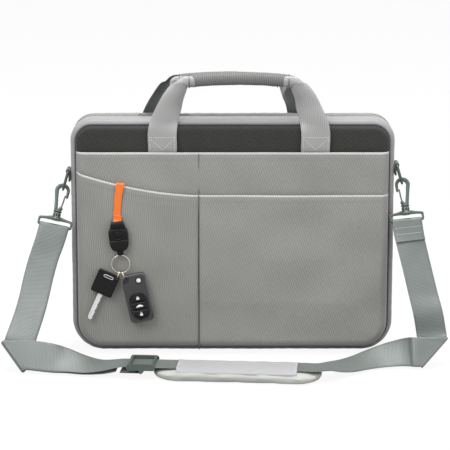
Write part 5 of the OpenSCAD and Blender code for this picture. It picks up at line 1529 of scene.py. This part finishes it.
def trolley_sleeve():
    """A sheet open at its top and bottom, with a row of thread along each hem."""
    trolley = columns("trolley_sleeve_cloth", -95, 95, lambda x: 130.2 + 0 * x, lambda x: 235.8 + 0 * x,
                      lambda x, z: sleeve_face(x, z) - 1.0, sleeve_face, TWILL, 120, 40)
    finished(trolley, "back_flap", "case_twill", "trolley_sleeve")
    x = np.linspace(-92, 92, 80)
    hems = [np.stack([x, sleeve_face(x, z) + 0.05, z + 0 * x], -1) for z in (134, 232)]
    stitches("trolley_sleeve_stitches", hems, "back_flap", THREAD, 3.2, 2.2, 0.24, 0.1, (0, 1, 0))


padded_divider()
trolley_sleeve()

# the covered cord of the middle seam: down the upper pocket, over its lip and down the lower pockets
z = np.linspace(4, 256, 130)
depth = np.interp(z, [4, 12, 200, 206, 212, 256], [-36, -43.4, -43.6, -43.0, -40.9, -40.9])
finished(tube("middle_seam_cord", np.stack([SEAM_X + 0 * z, depth, z], -1), 0.75, TRIM, 8), "bag", "piping")

for node, edge in (("zip_slider_left", 0.35), ("zip_slider_right", 0.35), ("zip_pull_left", 0.3),
                   ("zip_pull_right", 0.3), ("zip_stops", 0.3)):
    softened(node, edge, ZIPPER)
for node, material in (("base_stiffener", BOARD), ("front_handle_core", FOAM), ("rear_handle_core", FOAM)):
    mesh = frame["nodes"][node].data
    mesh.materials.clear()
    mesh.materials.append(material)


# --- floor, backdrop and lamps ------------------------------------------------------------

WHITE, FLOOR_GREY = (1.0, 1.0, 1.0, 1.0), (0.42, 0.42, 0.42, 1.0)
WORLD_LIGHT, FLOOR_GLOW = 0.6, 1.14
# lamps: name, place, what it points at, size in metres and power in watts
LAMPS = (("key", (-1.6, -2.2, 2.6), (0, 0, 0.15), 1.8, 52),
         ("fill", (2.2, -1.8, 1.2), (0, 0, 0.15), 2.4, 15),
         ("top", (0.2, -0.1, 3.0), (0, 0, 0.1), 2.0, 66))


def make_stage():
    """A pale floor that keeps its shadow and shows white behind the object, and soft lamps."""
    scene = bpy.context.scene
    world = scene.world or bpy.data.worlds.new("world")
    scene.world = world
    world.use_nodes = True
    tree = world.node_tree
    tree.nodes.clear()
    glossy = add(tree, "LightPath", {}, "Is Glossy Ray")
    glossy = add(tree, "Math", {0: glossy, 1: 0.85}, operation="MULTIPLY")
    clear = add(tree, "LightPath", {}, "Is Transmission Ray")
    seen = add(tree, "Math", {0: glossy, 1: clear}, operation="MAXIMUM")
    seen = add(tree, "Math", {0: seen, 1: add(tree, "LightPath", {}, "Is Camera Ray")}, operation="MAXIMUM")
    plain = add(tree, "Background", {"Color": WHITE, "Strength": WORLD_LIGHT})
    white = add(tree, "Background", {"Color": WHITE, "Strength": 1.0})
    add(tree, "OutputWorld", {"Surface": add(tree, "MixShader", {0: seen, 1: plain, 2: white})})

    material = bpy.data.materials.new("floor_white")
    material.use_nodes = True
    tree = material.node_tree
    tree.nodes.clear()
    diffuse = add(tree, "BsdfDiffuse", {"Color": FLOOR_GREY})
    glow = add(tree, "Emission", {"Strength": FLOOR_GLOW})
    share = add(tree, "Math", {0: add(tree, "LightPath", {}, "Is Camera Ray"), 1: 0.8}, operation="MULTIPLY")
    add(tree, "OutputMaterial", {"Surface": add(tree, "MixShader", {0: share, 1: diffuse, 2: glow})})
    bpy.ops.mesh.primitive_plane_add(size=40, location=(0, 0, -0.0006))
    floor = bpy.context.active_object
    floor.name = "floor"
    floor.data.materials.append(material)

    for name, place, target, size, power in LAMPS:
        data = bpy.data.lights.new(name, "AREA")
        data.size, data.energy = size, power
        lamp = bpy.data.objects.new(name, data)
        scene.collection.objects.link(lamp)
        lamp.location = place
        lamp.rotation_euler = (Vector(target) - Vector(place)).to_track_quat("-Z", "Y").to_euler()


make_stage()

bpy.context.view_layer.update()
